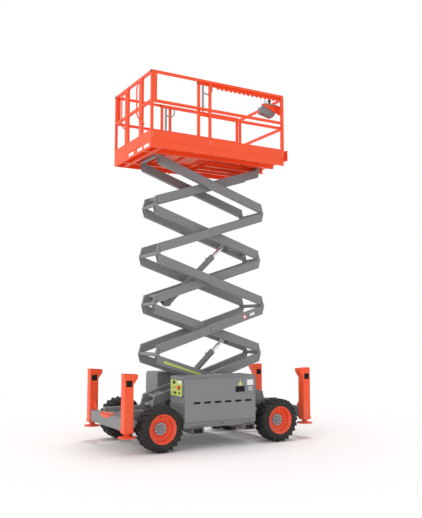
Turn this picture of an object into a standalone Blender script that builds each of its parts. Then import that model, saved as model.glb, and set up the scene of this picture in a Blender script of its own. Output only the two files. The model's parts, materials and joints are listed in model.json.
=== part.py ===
"""Rough-terrain scissor lift with four stabiliser jacks, at part height.

Metres, +Z up. The origin is on the ground under the middle of the machine. -X is the rear,
where the platform's gate is, +X is the steered front end, and -Y is the near side.
Each moving body hangs from an empty that sits on its joint's axis.
"""
import math

import bmesh
import bpy
from mathutils import Matrix, Vector

# ---- clearances -------------------------------------------------------------------------
SEAT = 0.0003            # between pieces that touch
RUN = 0.0006             # radial, between a pin and its bore
SLIDE = 0.0005           # between a leg and its housing
FREE = 0.006             # between pieces that move past each other

# ---- wheels and axles -------------------------------------------------------------------
TYRE_R = 0.330
TYRE_W = 0.305
TRACK_OVER_TYRES = 1.750
RIM_R = 0.214
WHEEL_SIDES = 24
REAR_AXLE_X = -1.066
FRONT_AXLE_X = 0.970
STUB_R = 0.042
HUB_R = 0.100
KINGPIN_Y = 0.500
KINGPIN_R = 0.020
STEER_ARM = 0.140
STEER_ARM_Y = 0.460

# ---- main frame -------------------------------------------------------------------------
RAIL_Y = (0.280, 0.360)
RAIL_Z = (0.420, 0.5525)
JACK_X = 1.558
JACK_Y = 0.700
JACK_W = 0.134
BEAM_Z = (0.320, 0.490)
BEAM_W = 0.100
FORK_X = (-0.475, 0.423)
FORK_W = 0.184
FORK_Z = (0.222, 0.3047)
FORK_WALL = 0.006

# ---- stabiliser jacks -------------------------------------------------------------------
JACK_Z = (0.300, 1.120)
JACK_WALL = 0.007
HEAD_Z = (0.970, 1.062)
HEAD_REACH = 0.066
FOOT_R = 0.128
FOOT_Z = (0.230, 0.245)

# ---- step on the rear beam --------------------------------------------------------------
STEP_Y = (-0.190, 0.230)
STEP_T = 0.014
APRON_T = 0.008
APRON_DROP = 0.050

# ---- cabinets ---------------------------------------------------------------------------
CAB_X_NEAR = (-0.728, 0.520)
CAB_X_FAR = (-0.568, 0.520)
CAB_Y = (0.4005, 0.860)
CAB_Z = (0.305, 1.050)
CAB_WALL = 0.008
DOOR_T = 0.028
TOP_CHAMFER = (0.060, 0.035)
LOW_CHAMFER = (0.075, 0.102)

# ---- scissor stack ----------------------------------------------------------------------
LEVELS = 5
PIN_SPAN = 2.060         # between an arm's two end pins
STACK = 0.140            # height that one level takes when folded
ARM_W = 0.076
ARM_H = 0.132
OUTER_Y = 0.3065
INNER_Y = 0.2006
BASE_X = -0.915
BASE_Z = 0.591
REST_ANGLE = math.radians(22.06)
PIN_R = 0.018
BOSS_R = 0.032
TUBE_STOP = 0.050        # a tube's square end stays this far from its pin
CHEEK_T = 0.0095
LUG_HALF = 0.022
CROSS_R = 0.030
ROLLER_R = 0.030

# ---- lift cylinders ---------------------------------------------------------------------
BASE_PIN = (0.2945, -0.156)   # along the arm from its lower pin, above the tube's centre
EYE_PIN = (0.558, 0.0512)
CYL_PIN_R = 0.020
BARREL_R = 0.050
BARREL_BORE = 0.035
BARREL_L = 1.150
ROD_R = 0.031
ROD_L = 1.112
EYE_R = 0.036
EYE_HALF = 0.045
EAR_Y = (0.060, 0.076)

# ---- platform ---------------------------------------------------------------------------
DECK_X = (-1.238, 1.177)
DECK_Y = 0.7246
SKIRT_Z = (4.444, 4.713)
SKIRT_T = 0.020
FLOOR_Z = (4.527, 4.537)
TUBE = 0.038             # square guard rail tube
TOP_RAIL_Z = 5.637
MID_RAIL_Z = 5.185
MID_POST_X = -0.240
PLATE_X = -1.144
GATE_Y = (-0.308, 0.235)
GATE_POST_W = 0.060
GATE_HINGE = (-1.188, 0.233)
GATE_HINGE_Z = (4.760, 5.420)
EXT_POST_X = -0.418
EXT_FRONT_X = 1.218
EXT_NOSE_X = 1.262
EXT_TOP_Z = 5.610
EXT_MID_Z = 5.108
EXT_FLOOR_T = 0.010
EXT_SKIRT_Z = 4.690
CONTROL_X = (0.830, 1.210)
CONTROL_Y = (-0.586, -0.430)
CONTROL_Z = (5.270, 5.484)

# ---- worked out -------------------------------------------------------------------------
HALF_SPAN = math.sqrt((PIN_SPAN / 2) ** 2 - (STACK / 2) ** 2)
FOLD_ANGLE = math.asin(STACK / PIN_SPAN)
TUBE_ANGLE = REST_ANGLE - FOLD_ANGLE
LEVEL_H = PIN_SPAN * math.sin(REST_ANGLE)
LEVEL_W = PIN_SPAN * math.cos(REST_ANGLE)
TOP_PIN_Z = BASE_Z + LEVELS * LEVEL_H
WHEEL_Y = (TRACK_OVER_TYRES - TYRE_W) / 2
EXT_OUT_Y = DECK_Y - TUBE - FREE

ORANGE = (1.0, 0.098, 0.024)
GREY = (0.230, 0.235, 0.245)
DARK = (0.020, 0.020, 0.022)
STEEL = (0.560, 0.560, 0.580)
PANEL = (0.560, 0.650, 0.180)
FINISHES = {
    # name: (colour, roughness, metallic)
    "orange_paint": (ORANGE, 0.45, 0.0),
    "grey_paint": (GREY, 0.50, 0.0),
    "tyre_rubber": (DARK, 0.85, 0.0),
    "rod_chrome": (STEEL, 0.15, 1.0),
    "bare_steel": (STEEL, 0.40, 1.0),
    "black_plastic": (DARK, 0.55, 0.0),
    "panel_face": (PANEL, 0.50, 0.0),
}


# ---- scene and materials ----------------------------------------------------------------
def clear_scene():
    for obj in list(bpy.data.objects):
        bpy.data.objects.remove(obj, do_unlink=True)


def collection(name):
    made = bpy.data.collections.new(name)
    bpy.context.scene.collection.children.link(made)
    return made


def material(name):
    colour, roughness, metallic = FINISHES[name]
    made = bpy.data.materials.new(name)
    made.use_nodes = True
    shader = made.node_tree.nodes["Principled BSDF"]
    shader.inputs["Base Color"].default_value = (*colour, 1.0)
    shader.inputs["Roughness"].default_value = roughness
    shader.inputs["Metallic"].default_value = metallic
    made.diffuse_color = (*colour, 1.0)
    return made


# ---- shapes: each returns a mesh in its body's modelling frame -----------------------------
def finish_mesh(shape, name="shape"):
    mesh = bpy.data.meshes.new(name)
    shape.to_mesh(mesh)
    shape.free()
    mesh.shade_smooth()
    mesh.set_sharp_from_angle(angle=math.radians(30))
    return mesh


def block(x, y, z):
    """A box between two limits on each axis."""
    shape = bmesh.new()
    bmesh.ops.create_cube(shape, size=1.0)
    for vert in shape.verts:
        for axis, (low, high) in enumerate((x, y, z)):
            vert.co[axis] = low if vert.co[axis] < 0 else high
    return finish_mesh(shape, "block")


def mirror_y(limits):
    return (-limits[1], -limits[0])


def side(sign, limits):
    """Limits measured outwards on the near (-1) or far (+1) side."""
    return limits if sign > 0 else mirror_y(limits)


def turn_to(direction):
    """Rotation that takes +Z to a direction, with the section's flat facing the ground."""
    aim = Vector(direction).normalized()
    return aim.to_track_quat("Z", "Y").to_matrix().to_4x4()


def rod(start, end, radius, sides=12, flat=False):
    """A round bar from one point to another; flat turns its facets half a step."""
    start = Vector(start)
    end = Vector(end)
    shape = bmesh.new()
    bmesh.ops.create_cone(shape, cap_ends=True, segments=sides, radius1=radius, radius2=radius,
                          depth=(end - start).length)
    spin = Matrix.Rotation(math.pi / sides if flat else 0.0, 4, "Z")
    place = Matrix.Translation((start + end) / 2) @ turn_to(end - start) @ spin
    bmesh.ops.transform(shape, matrix=place, verts=shape.verts)
    return finish_mesh(shape, "rod")


def bore(start, end, radius, sides=12):
    """A cutter whose flats, not corners, are at the radius."""
    return rod(start, end, radius / math.cos(math.pi / sides), sides)


def baked(obj):
    """The evaluated mesh of a curve or a modified object, welded, with the object removed."""
    graph = bpy.context.evaluated_depsgraph_get()
    mesh = bpy.data.meshes.new_from_object(obj.evaluated_get(graph))
    mesh.transform(obj.matrix_world)
    bpy.data.objects.remove(obj, do_unlink=True)
    shape = bmesh.new()
    shape.from_mesh(mesh)
    bmesh.ops.remove_doubles(shape, verts=shape.verts, dist=0.00005)
    bmesh.ops.recalc_face_normals(shape, faces=shape.faces)
    return finish_mesh(shape, "baked")


def curve_object(points, dimensions, closed):
    data = bpy.data.curves.new("outline", "CURVE")
    data.dimensions = dimensions
    spline = data.splines.new("POLY")
    spline.points.add(len(points) - 1)
    for spot, point in zip(spline.points, points):
        spot.co = (*point, 1.0) if len(point) == 3 else (*point, 0.0, 1.0)
    spline.use_cyclic_u = closed
    obj = bpy.data.objects.new("outline", data)
    HELPERS.objects.link(obj)
    return obj


PLANES = {
    # plane: rotation that lays the outline's (u, v) on it
    "XZ": Matrix(((1, 0, 0, 0), (0, 0, -1, 0), (0, 1, 0, 0), (0, 0, 0, 1))),
    "YZ": Matrix(((0, 0, 1, 0), (1, 0, 0, 0), (0, 1, 0, 0), (0, 0, 0, 1))),
    "XY": Matrix.Identity(4),
}
DEPTH_AXIS = {"XZ": Vector((0, 1, 0)), "YZ": Vector((1, 0, 0)), "XY": Vector((0, 0, 1))}


def plate(outline, plane, depth):
    """A flat outline on a plane, between two limits on the plane's normal axis."""
    obj = curve_object(outline, "2D", True)
    obj.data.fill_mode = "BOTH"
    obj.data.extrude = (depth[1] - depth[0]) / 2
    shift = DEPTH_AXIS[plane] * (depth[0] + depth[1]) / 2
    obj.matrix_world = Matrix.Translation(shift) @ PLANES[plane]
    bpy.context.view_layer.update()
    return baked(obj)


def pipe(points, radius):
    """A bent round bar through a list of points."""
    obj = curve_object(points, "3D", False)
    obj.data.bevel_depth = radius
    obj.data.bevel_resolution = 1
    obj.data.use_fill_caps = True
    bpy.context.view_layer.update()
    return baked(obj)


def turned(profile, centre, axis, steps=WHEEL_SIDES):
    """A closed ring profile of (radius, height) turned about an axis through a centre."""
    shape = bmesh.new()
    verts = [shape.verts.new((radius, 0.0, height)) for radius, height in profile]
    for vert, following in zip(verts, verts[1:] + verts[:1]):
        shape.edges.new((vert, following))
    obj = bpy.data.objects.new("profile", finish_mesh(shape, "profile"))
    HELPERS.objects.link(obj)
    screw = obj.modifiers.new("Screw", "SCREW")
    screw.steps = steps
    screw.render_steps = steps
    screw.use_merge_vertices = True
    screw.merge_threshold = 0.0001
    spin = Matrix.Rotation(math.pi / steps, 4, "Z")
    obj.matrix_world = Matrix.Translation(centre) @ turn_to(axis) @ spin
    bpy.context.view_layer.update()
    return baked(obj)


def arc(centre, radius, start, end, steps=5):
    """Points on an arc, with its angles in degrees."""
    angles = [math.radians(start + (end - start) * i / steps) for i in range(steps + 1)]
    return [(centre[0] + radius * math.cos(a), centre[1] + radius * math.sin(a)) for a in angles]


# ---- bodies and nodes -------------------------------------------------------------------
class Body:
    """An empty on a joint's axis; frame takes the modelling frame to the world."""

    def __init__(self, name, pivot=(0, 0, 0), parent=None, frame=Matrix.Identity(4)):
        turn = frame.to_3x3().to_4x4()
        self.world = Matrix.Translation(Vector(pivot)) @ turn
        self.to_local = self.world.inverted() @ frame
        self.empty = bpy.data.objects.new(name + "_pivot", None)
        self.empty.empty_display_size = 0.15
        PARTS.objects.link(self.empty)
        if parent:
            self.empty.parent = parent.empty
            self.empty.matrix_basis = parent.world.inverted() @ self.world
        else:
            self.empty.matrix_basis = self.world

    def place(self, name, mesh, group):
        obj = bpy.data.objects.new(name, mesh)
        mesh.transform(self.to_local)
        group.objects.link(obj)
        obj.parent = self.empty
        return obj


def node(name, body, finish, add, cut=()):
    """One named solid: the first shape, joined with the rest, less the cutters."""
    solid = body.place(name, add[0], PARTS)
    solid.data.name = name
    solid.data.materials.append(MATERIALS[finish])
    for kind, operation, shapes in (("join", "UNION", add[1:]), ("cut", "DIFFERENCE", cut)):
        if not shapes:
            continue
        group = bpy.data.collections.new(f"{name}_{kind}")
        HELPERS.children.link(group)
        for index, mesh in enumerate(shapes):
            tool = body.place(f"{name}_{kind}_{index}", mesh, group)
            tool.hide_render = True
            tool.display_type = "WIRE"
        BOOLEANS.append((solid, kind, operation, group))


def add_booleans():
    """Added last, so that no shape is worked out again while the next ones are made."""
    for solid, kind, operation, group in BOOLEANS:
        modifier = solid.modifiers.new(kind, "BOOLEAN")
        modifier.operation = operation
        modifier.solver = "EXACT"
        modifier.operand_type = "COLLECTION"
        modifier.collection = group


# ---- wheels -----------------------------------------------------------------------------
def tyre_profile():
    half = TYRE_W / 2
    return [
        (TYRE_R / math.cos(math.pi / WHEEL_SIDES), half - 0.030),
        (TYRE_R - 0.020, half - 0.006),
        (TYRE_R - 0.065, half),
        (RIM_R + 0.020, half - 0.012),
        (RIM_R + SLIDE, half - 0.030),
    ]


def both_ways(profile):
    """A half profile closed by its own reflection about height 0."""
    return profile + [(radius, -height) for radius, height in reversed(profile)]


def wheel(side_name, sign, x, carrier):
    body = Body(f"{side_name}_wheel", (x, sign * WHEEL_Y, TYRE_R), carrier)
    centre = Vector((x, sign * WHEEL_Y, TYRE_R))
    out = Vector((0, sign, 0))
    node(f"{side_name}_tyre", body, "tyre_rubber", [turned(both_ways(tyre_profile()), centre, out)])
    half = TYRE_W / 2 - 0.022
    barrel = [
        (RIM_R, half),
        (RIM_R, -half),
        (RIM_R - 0.014, -half),
        (RIM_R - 0.014, -0.030),
        (STUB_R + RUN, -0.030),
        (STUB_R + RUN, 0.010),
        (0.080, 0.030),
        (0.100, 0.010),
        (RIM_R - 0.030, 0.000),
        (RIM_R - 0.016, 0.030),
        (RIM_R - 0.016, half),
    ]
    cap = rod(centre, centre + out * 0.046, 0.068, 24)
    node(f"{side_name}_rim", body, "orange_paint", [turned(barrel, centre, out), cap])
    return body


def spindle(sign, x, inner):
    """Hub motor and stub that a wheel turns on."""
    wheel_back = WHEEL_Y - 0.030 - FREE
    stub_end = WHEEL_Y - SLIDE
    return [
        rod((x, sign * inner, TYRE_R), (x, sign * wheel_back, TYRE_R), HUB_R, 24),
        rod((x, sign * inner, TYRE_R), (x, sign * stub_end, TYRE_R), STUB_R, 24),
    ]


# ---- chassis ----------------------------------------------------------------------------
def main_frame(root):
    beam_x = (JACK_X - BEAM_W / 2, JACK_X + BEAM_W / 2)
    beam_y = JACK_Y - JACK_W / 2 - SEAT
    rail_end = JACK_X - BEAM_W / 2 + 0.004
    add = []
    for sign in (-1, 1):
        add.append(block((-rail_end, rail_end), side(sign, RAIL_Y), RAIL_Z))
        # roller track: two flanges and a web, on the rail
        low = BASE_Z - ROLLER_R - 0.0015
        high = BASE_Z + ROLLER_R + 0.0015
        flange = side(sign, (0.350, 0.400))
        add.append(block((-0.020, 1.210), flange, (RAIL_Z[1] - 0.010, low)))
        add.append(block((-0.020, 1.210), flange, (high, high + 0.008)))
        add.append(block((-0.020, 1.210), side(sign, (0.392, 0.400)), (RAIL_Z[1] - 0.010, high + 0.008)))
        for stop in ((-0.020, -0.008), (1.198, 1.210)):
            add.append(block(stop, flange, (RAIL_Z[1] - 0.005, high + 0.004)))
        # cheeks and pin for the lowest inner arm
        for outward in (-1, 1):
            y = sign * INNER_Y + outward * (LUG_HALF + 0.006 + CHEEK_T / 2)
            outline = [(BASE_X - 0.060, RAIL_Z[0] + 0.02), (BASE_X + 0.060, RAIL_Z[0] + 0.02)]
            outline += arc((BASE_X, BASE_Z), BOSS_R, 0, 180)
            add.append(plate(outline, "XZ", (y - CHEEK_T / 2, y + CHEEK_T / 2)))
        pin_y = side(sign, (INNER_Y - 0.037, INNER_Y + 0.037))
        add.append(rod((BASE_X, pin_y[0], BASE_Z), (BASE_X, pin_y[1], BASE_Z), PIN_R))
        # feet that carry the fork tubes
        for x in FORK_X:
            add.append(block((x - 0.080, x + 0.080), side(sign, (0.285, 0.355)),
                             (FORK_Z[1] + SEAT, RAIL_Z[0] + 0.01)))
    for x in ((-1.470, -1.400), (-0.975, -0.855), (0.290, 0.370), (1.250, 1.330)):
        add.append(block(x, (-0.290, 0.290), (RAIL_Z[0] + 0.004, RAIL_Z[0] + 0.075)))
    for sign in (-1, 1):
        x = beam_x if sign > 0 else mirror_y(beam_x)
        add.append(block(x, (-beam_y, beam_y), BEAM_Z))
    node("main_frame", root, "grey_paint", add)


def fork_tubes(root):
    for name, x in zip(("rear", "front"), FORK_X):
        limits = (x - FORK_W / 2, x + FORK_W / 2)
        inside = (limits[0] + FORK_WALL, limits[1] - FORK_WALL)
        reach = CAB_Y[1] - LOW_CHAMFER[0] + 0.035
        tube = block(limits, (-reach, reach), FORK_Z)
        hole = block(inside, (-1.0, 1.0), (FORK_Z[0] + FORK_WALL, FORK_Z[1] - FORK_WALL))
        node(f"{name}_fork_tube", root, "grey_paint", [tube], [hole])


def axles(root):
    top = RAIL_Z[0] - SEAT
    rear = [block((REAR_AXLE_X - 0.060, REAR_AXLE_X + 0.060), (-0.420, 0.420), (0.250, top))]
    for sign in (-1, 1):
        rear += spindle(sign, REAR_AXLE_X, 0.400)
    node("rear_axle", root, "grey_paint", rear)
    yoke_x = (FRONT_AXLE_X - 0.045, FRONT_AXLE_X + 0.045)
    front = [block((FRONT_AXLE_X - 0.060, FRONT_AXLE_X + 0.060), (-0.395, 0.395), (0.250, top))]
    bores = []
    for sign in (-1, 1):
        front.append(block(yoke_x, side(sign, (0.366, 0.402)), (0.180, 0.480)))
        for z in ((0.180, 0.210), (0.450, 0.480)):
            front.append(block(yoke_x, side(sign, (0.380, KINGPIN_Y + 0.040)), z))
        spot = (FRONT_AXLE_X, sign * KINGPIN_Y)
        bores.append(bore((*spot, 0.100), (*spot, 0.560), KINGPIN_R + RUN))
    node("front_axle", root, "grey_paint", front, bores)


def knuckle(side_name, sign, root):
    body = Body(f"{side_name}_knuckle", (FRONT_AXLE_X, sign * KINGPIN_Y, TYRE_R), root)
    x = FRONT_AXLE_X
    spot = (x, sign * KINGPIN_Y)
    ball_x = x - STEER_ARM
    add = [block((x - 0.045, x + 0.045), side(sign, (0.455, 0.565)), (0.2105, 0.4495))]
    add.append(rod((*spot, 0.185), (*spot, 0.475), KINGPIN_R))
    add += spindle(sign, x, 0.520)
    add.append(block((ball_x, x), side(sign, (STEER_ARM_Y - 0.015, STEER_ARM_Y + 0.015)), (0.250, 0.275)))
    ball = (ball_x, sign * STEER_ARM_Y)
    add.append(rod((*ball, 0.250), (*ball, 0.275), 0.026))
    node(f"{side_name}_knuckle", body, "grey_paint", add)
    return body


def tie_rod(near_knuckle):
    x = FRONT_AXLE_X - STEER_ARM
    body = Body("tie_rod", (x, -STEER_ARM_Y, 0.290), near_knuckle)
    low = 0.275 + SLIDE
    add = [rod((x, -STEER_ARM_Y, 0.290), (x, STEER_ARM_Y, 0.290), 0.012, 12)]
    for sign in (-1, 1):
        ball = (x, sign * STEER_ARM_Y)
        add.append(rod((*ball, low), (*ball, low + 0.030), 0.024))
    node("tie_rod", body, "bare_steel", add)


# ---- jacks ------------------------------------------------------------------------------
def jack(name, end, sign, root):
    """end is -1 at the rear and +1 at the front; the head flares towards the machine."""
    half = JACK_W / 2
    y = side(sign, (JACK_Y - half, JACK_Y + half))
    outline = [(JACK_X + half, JACK_Z[0]), (JACK_X + half, JACK_Z[1]),
               (JACK_X - half - HEAD_REACH, JACK_Z[1] - 0.014),
               (JACK_X - half - HEAD_REACH, HEAD_Z[1]),
               (JACK_X - half, HEAD_Z[0]), (JACK_X - half, JACK_Z[0])]
    outline = [(end * x, z) for x, z in outline]
    inner = half - JACK_WALL
    middle = end * JACK_X
    hollow = block((middle - inner, middle + inner), side(sign, (JACK_Y - inner, JACK_Y + inner)),
                   (JACK_Z[0] - 0.05, JACK_Z[1] - 0.020))
    node(f"{name}_jack_housing", root, "orange_paint", [plate(outline, "XZ", y)], [hollow])
    leg_half = inner - SLIDE
    body = Body(f"{name}_jack_leg", (middle, sign * JACK_Y, JACK_Z[0]), root)
    spot = (middle, sign * JACK_Y)
    leg = [
        block((middle - leg_half, middle + leg_half),
              side(sign, (JACK_Y - leg_half, JACK_Y + leg_half)), (JACK_Z[0] - 0.012, 1.060)),
        rod((*spot, FOOT_Z[1] - 0.005), (*spot, JACK_Z[0]), 0.030),
        rod((*spot, FOOT_Z[0]), (*spot, FOOT_Z[1]), FOOT_R, 24, True),
    ]
    node(f"{name}_jack_leg", body, "orange_paint", leg)


def rear_step(root):
    """A pad over the rear beam with an apron down the beam's outer face."""
    top = BEAM_Z[1] + SEAT
    face = -JACK_X - BEAM_W / 2 - SEAT
    pad = block((face - APRON_T, -JACK_X + BEAM_W / 2 - STEP_T), STEP_Y, (top, top + STEP_T))
    apron = block((face - APRON_T, face), STEP_Y, (BEAM_Z[1] - APRON_DROP, top + STEP_T))
    node("rear_step", root, "orange_paint", [pad, apron])


# ---- cabinets ---------------------------------------------------------------------------
def cabinet_with_door(name, sign, x, root):
    """Hollow shell open on its outer side, and the panel that closes it."""
    rim = CAB_Y[1] - DOOR_T - FREE
    hinge = (x[1] - 0.013, sign * (CAB_Y[1] - 0.012))
    lugs = []
    knuckles = []
    for z in (0.480, 0.860):
        lugs.append(rod((*hinge, z), (*hinge, z + 0.020), 0.010, 12))
        lugs.append(block((x[1] - 0.018, x[1] - 0.006), side(sign, (rim - 0.020, CAB_Y[1] - 0.012)),
                          (z, z + 0.020)))
        knuckles.append(rod((*hinge, z + 0.020 + SEAT), (*hinge, z + 0.080), 0.010, 12))
        knuckles.append(block((hinge[0] - 0.025, hinge[0]),
                              side(sign, (CAB_Y[1] - 0.020, CAB_Y[1] - 0.004)),
                              (z + 0.020 + SEAT, z + 0.080)))
    low = CAB_Z[0] + LOW_CHAMFER[1]
    high = CAB_Z[1] - TOP_CHAMFER[1]
    section = [(sign * y, z) for y, z in [
        (CAB_Y[0], CAB_Z[0]), (CAB_Y[1] - LOW_CHAMFER[0], CAB_Z[0]), (rim, low - 0.045),
        (rim, high + 0.020), (CAB_Y[1] - TOP_CHAMFER[0], CAB_Z[1]), (CAB_Y[0], CAB_Z[1])]]
    shell = plate(section, "YZ", x)
    inside = block((x[0] + CAB_WALL, x[1] - CAB_WALL), side(sign, (CAB_Y[0] + CAB_WALL, 1.0)),
                   (low, high - 0.010))
    node(f"{name}_cabinet", root, "grey_paint", [shell] + lugs, [inside])
    body = Body(f"{name}_door", (*hinge, (low + high) / 2), root)
    door_x = (x[0] + 0.004, hinge[0] - 0.014)
    panel = plate([(sign * y, z) for y, z in [
        (CAB_Y[1] - DOOR_T, low - 0.020), (CAB_Y[1], low), (CAB_Y[1], high),
        (CAB_Y[1] - DOOR_T, high + 0.012)]], "YZ", door_x)
    node(f"{name}_door", body, "grey_paint", [panel] + knuckles)


def power_blocks(root):
    """Engine in the near cabinet, hydraulic tank and batteries in the far one."""
    for name, sign, x in (("engine_block", -1, CAB_X_NEAR), ("hydraulic_block", 1, CAB_X_FAR)):
        y = side(sign, (CAB_Y[0] + CAB_WALL + SEAT, CAB_Y[1] - DOOR_T - FREE - 0.020))
        z = (CAB_Z[0] + LOW_CHAMFER[1] + SEAT, CAB_Z[1] - TOP_CHAMFER[1] - 0.050)
        node(name, root, "black_plastic", [block((x[0] + 0.030, x[1] - 0.040), y, z)])


def control_panel(root):
    x = CAB_X_NEAR[0] - SEAT
    panel = block((x - 0.012, x), (-0.800, -0.430), (0.770, 1.000))
    node("ground_control_panel", root, "panel_face", [panel])


# ---- scissor arms -----------------------------------------------------------------------
def arm_frame(level, leans_right):
    """Tube frame at rest: origin at the arm's middle, +X to its upper end, +Z above it."""
    middle = Vector((BASE_X + LEVEL_W / 2, 0.0, BASE_Z + (level + 0.5) * LEVEL_H))
    turn = Matrix.Rotation(-TUBE_ANGLE, 4, "Y")
    if not leans_right:
        turn = Matrix.Rotation(math.pi, 4, "Z") @ turn
    return Matrix.Translation(middle) @ turn


LOWER = Vector((-HALF_SPAN, 0.0, -STACK / 2))
UPPER = Vector((HALF_SPAN, 0.0, STACK / 2))
MIDDLE = Vector((0.0, 0.0, 0.0))


def end_outline(flip):
    """The pointed end plate around an upper pin; flip turns it round for a lower pin."""
    half = ARM_H / 2 - 0.001
    x = HALF_SPAN
    z = STACK / 2
    outline = [(x - 0.090, half), (x - 0.090, -half), (x - TUBE_STOP, -half)]
    outline += arc((x, z), BOSS_R, -33, 180)
    outline.append((x - BOSS_R, half))
    return [(-px, -pz) for px, pz in outline] if flip else outline


def pin_at(place, reach, radius=PIN_R, sides=12):
    """A round bar across the machine, between two Y limits."""
    return rod((place.x, reach[0], place.z), (place.x, reach[1], place.z), radius, sides)


def hole_at(place, reach, radius=PIN_R + RUN):
    return bore((place.x, reach[0], place.z), (place.x, reach[1], place.z), radius)


def arm_pair(arm_y, bored=True):
    """Shapes of two parallel arms with a fork at each upper end and a lug at each lower end."""
    add = []
    cut = []
    tube_end = HALF_SPAN - TUBE_STOP
    cheek = LUG_HALF + FREE
    for sign in (-1, 1):
        centre = sign * arm_y
        add.append(block((-tube_end, tube_end), (centre - ARM_W / 2, centre + ARM_W / 2),
                         (-ARM_H / 2, ARM_H / 2)))
        for outward in (-1, 1):
            y = sorted((centre + outward * cheek, centre + outward * (cheek + CHEEK_T)))
            add.append(plate(end_outline(False), "XZ", y))
        add.append(pin_at(UPPER, (centre - cheek - CHEEK_T / 2, centre + cheek + CHEEK_T / 2)))
        add.append(plate(end_outline(True), "XZ", (centre - LUG_HALF, centre + LUG_HALF)))
        if bored:
            cut.append(hole_at(LOWER, (centre - 0.030, centre + 0.030)))
    return add, cut


def cross_tube(place, reach):
    """A tube between the two arms of a frame, into each by its reach."""
    return rod((place.x, -reach, place.z), (place.x, reach, place.z), CROSS_R, 8, True)


def cheek_reach(arm_y):
    return arm_y - ARM_W / 2 + CHEEK_T / 2


def tube_reach(arm_y):
    return arm_y - ARM_W / 2 + 0.010


def outer_arm(level, parent, pivot):
    """Outer frames lean left on even levels; their middle takes the inner frame's pivots."""
    frame = arm_frame(level, leans_right=bool(level % 2))
    body = Body(f"outer_arm_{level + 1}", frame @ pivot, parent, frame)
    on_rollers = level == 0
    add, cut = arm_pair(OUTER_Y, bored=not on_rollers)
    add.append(cross_tube(UPPER, cheek_reach(OUTER_Y)))
    for sign in (-1, 1):
        centre = sign * OUTER_Y
        cut.append(hole_at(MIDDLE, (centre - 0.060, centre + 0.060)))
        if on_rollers:
            add.append(pin_at(LOWER, side(sign, (OUTER_Y, 0.356))))
            add.append(pin_at(LOWER, side(sign, (0.352, 0.388)), ROLLER_R))
    node(f"outer_arm_{level + 1}", body, "grey_paint", add, cut)
    return body


def cylinder_foot():
    """Cross beam, two ears and the pin that the barrel hangs on."""
    spot = LOWER + Vector((BASE_PIN[0], 0.0, STACK / 2 + BASE_PIN[1]))
    beam_x = (LOWER.x + 0.190, LOWER.x + 0.290)
    reach = INNER_Y - ARM_W / 2 + 0.010
    add = [block(beam_x, (-reach, reach), (-0.060, 0.030))]
    outline = [(beam_x[1] - 0.004, -0.040), (beam_x[0] + 0.004, -0.040)]
    outline += arc((spot.x, spot.z), 0.040, 200, 360)
    for sign in (-1, 1):
        add.append(plate(outline, "XZ", side(sign, EAR_Y)))
    add.append(pin_at(spot, (-EAR_Y[1] - 0.006, EAR_Y[1] + 0.006), CYL_PIN_R))
    return add


def cylinder_head():
    """Cross beam and two ears that the rod's eye comes up to."""
    spot = LOWER + Vector((EYE_PIN[0], 0.0, STACK / 2 + EYE_PIN[1]))
    beam_x = (spot.x - 0.155, spot.x - 0.095)
    reach = INNER_Y - ARM_W / 2 + 0.010
    add = [block(beam_x, (-reach, reach), (-0.030, 0.030))]
    outline = [(beam_x[0] + 0.004, 0.020), (beam_x[0] + 0.004, -0.020), (beam_x[1], -0.020)]
    outline += arc((spot.x, spot.z), EYE_R, -70, 110)
    for sign in (-1, 1):
        add.append(plate(outline, "XZ", side(sign, EAR_Y)))
        add.append(pin_at(spot, side(sign, (EAR_Y[0] + 0.002, EAR_Y[1] + 0.008)), CYL_PIN_R))
    return add


def inner_arm(level, parent, pivot):
    frame = arm_frame(level, leans_right=not level % 2)
    body = Body(f"inner_arm_{level + 1}", frame @ pivot, parent, frame)
    add, cut = arm_pair(INNER_Y)
    top = level == LEVELS - 1
    if top:
        add.append(cross_tube(Vector((HALF_SPAN - 0.200, 0, -0.020)), tube_reach(INNER_Y)))
    else:
        add.append(cross_tube(UPPER, cheek_reach(INNER_Y)))
    add.append(cross_tube(Vector((-HALF_SPAN + 0.130, 0, 0.020)), tube_reach(INNER_Y)))
    if level in (0, 2):
        add += cylinder_foot()
    if level in (1, 3):
        add += cylinder_head()
    for sign in (-1, 1):
        add.append(pin_at(MIDDLE, side(sign, (INNER_Y, OUTER_Y + ARM_W / 2 + 0.006))))
        if top:
            add.append(pin_at(UPPER, side(sign, (0.140, INNER_Y - 0.020)), PIN_R - 0.003))
            add.append(pin_at(UPPER, side(sign, (0.125, 0.155)), 0.028))
    node(f"inner_arm_{level + 1}", body, "grey_paint", add, cut)
    return body


def cylinder(name, level, lower_body):
    """Barrel on one inner arm, rod that reaches the ears on the next."""
    foot = arm_frame(level, True) @ (LOWER + Vector((BASE_PIN[0], 0, STACK / 2 + BASE_PIN[1])))
    eye = arm_frame(level + 1, False) @ (LOWER + Vector((EYE_PIN[0], 0, STACK / 2 + EYE_PIN[1])))
    aim = (eye - foot).normalized()
    barrel_body = Body(f"{name}_barrel", foot, lower_body)
    across = Vector((0, EYE_HALF, 0))
    add = [
        rod(foot - across, foot + across, 0.040),
        rod(foot + aim * 0.030, foot + aim * BARREL_L, BARREL_R, 24),
    ]
    cut = [
        bore(foot - across * 1.5, foot + across * 1.5, CYL_PIN_R + RUN),
        rod(foot + aim * 0.090, foot + aim * (BARREL_L + 0.1), BARREL_BORE, 24),
    ]
    node(f"{name}_barrel", barrel_body, "grey_paint", add, cut)
    rod_body = Body(f"{name}_rod", eye, barrel_body)
    start = eye - aim * ROD_L
    rod_shapes = [
        rod(start, eye - aim * 0.020, ROD_R, 24),
        rod(start, start + aim * 0.040, BARREL_BORE - SLIDE, 24),
        rod(eye - across, eye + across, EYE_R),
    ]
    node(f"{name}_rod", rod_body, "rod_chrome", rod_shapes)


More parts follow.
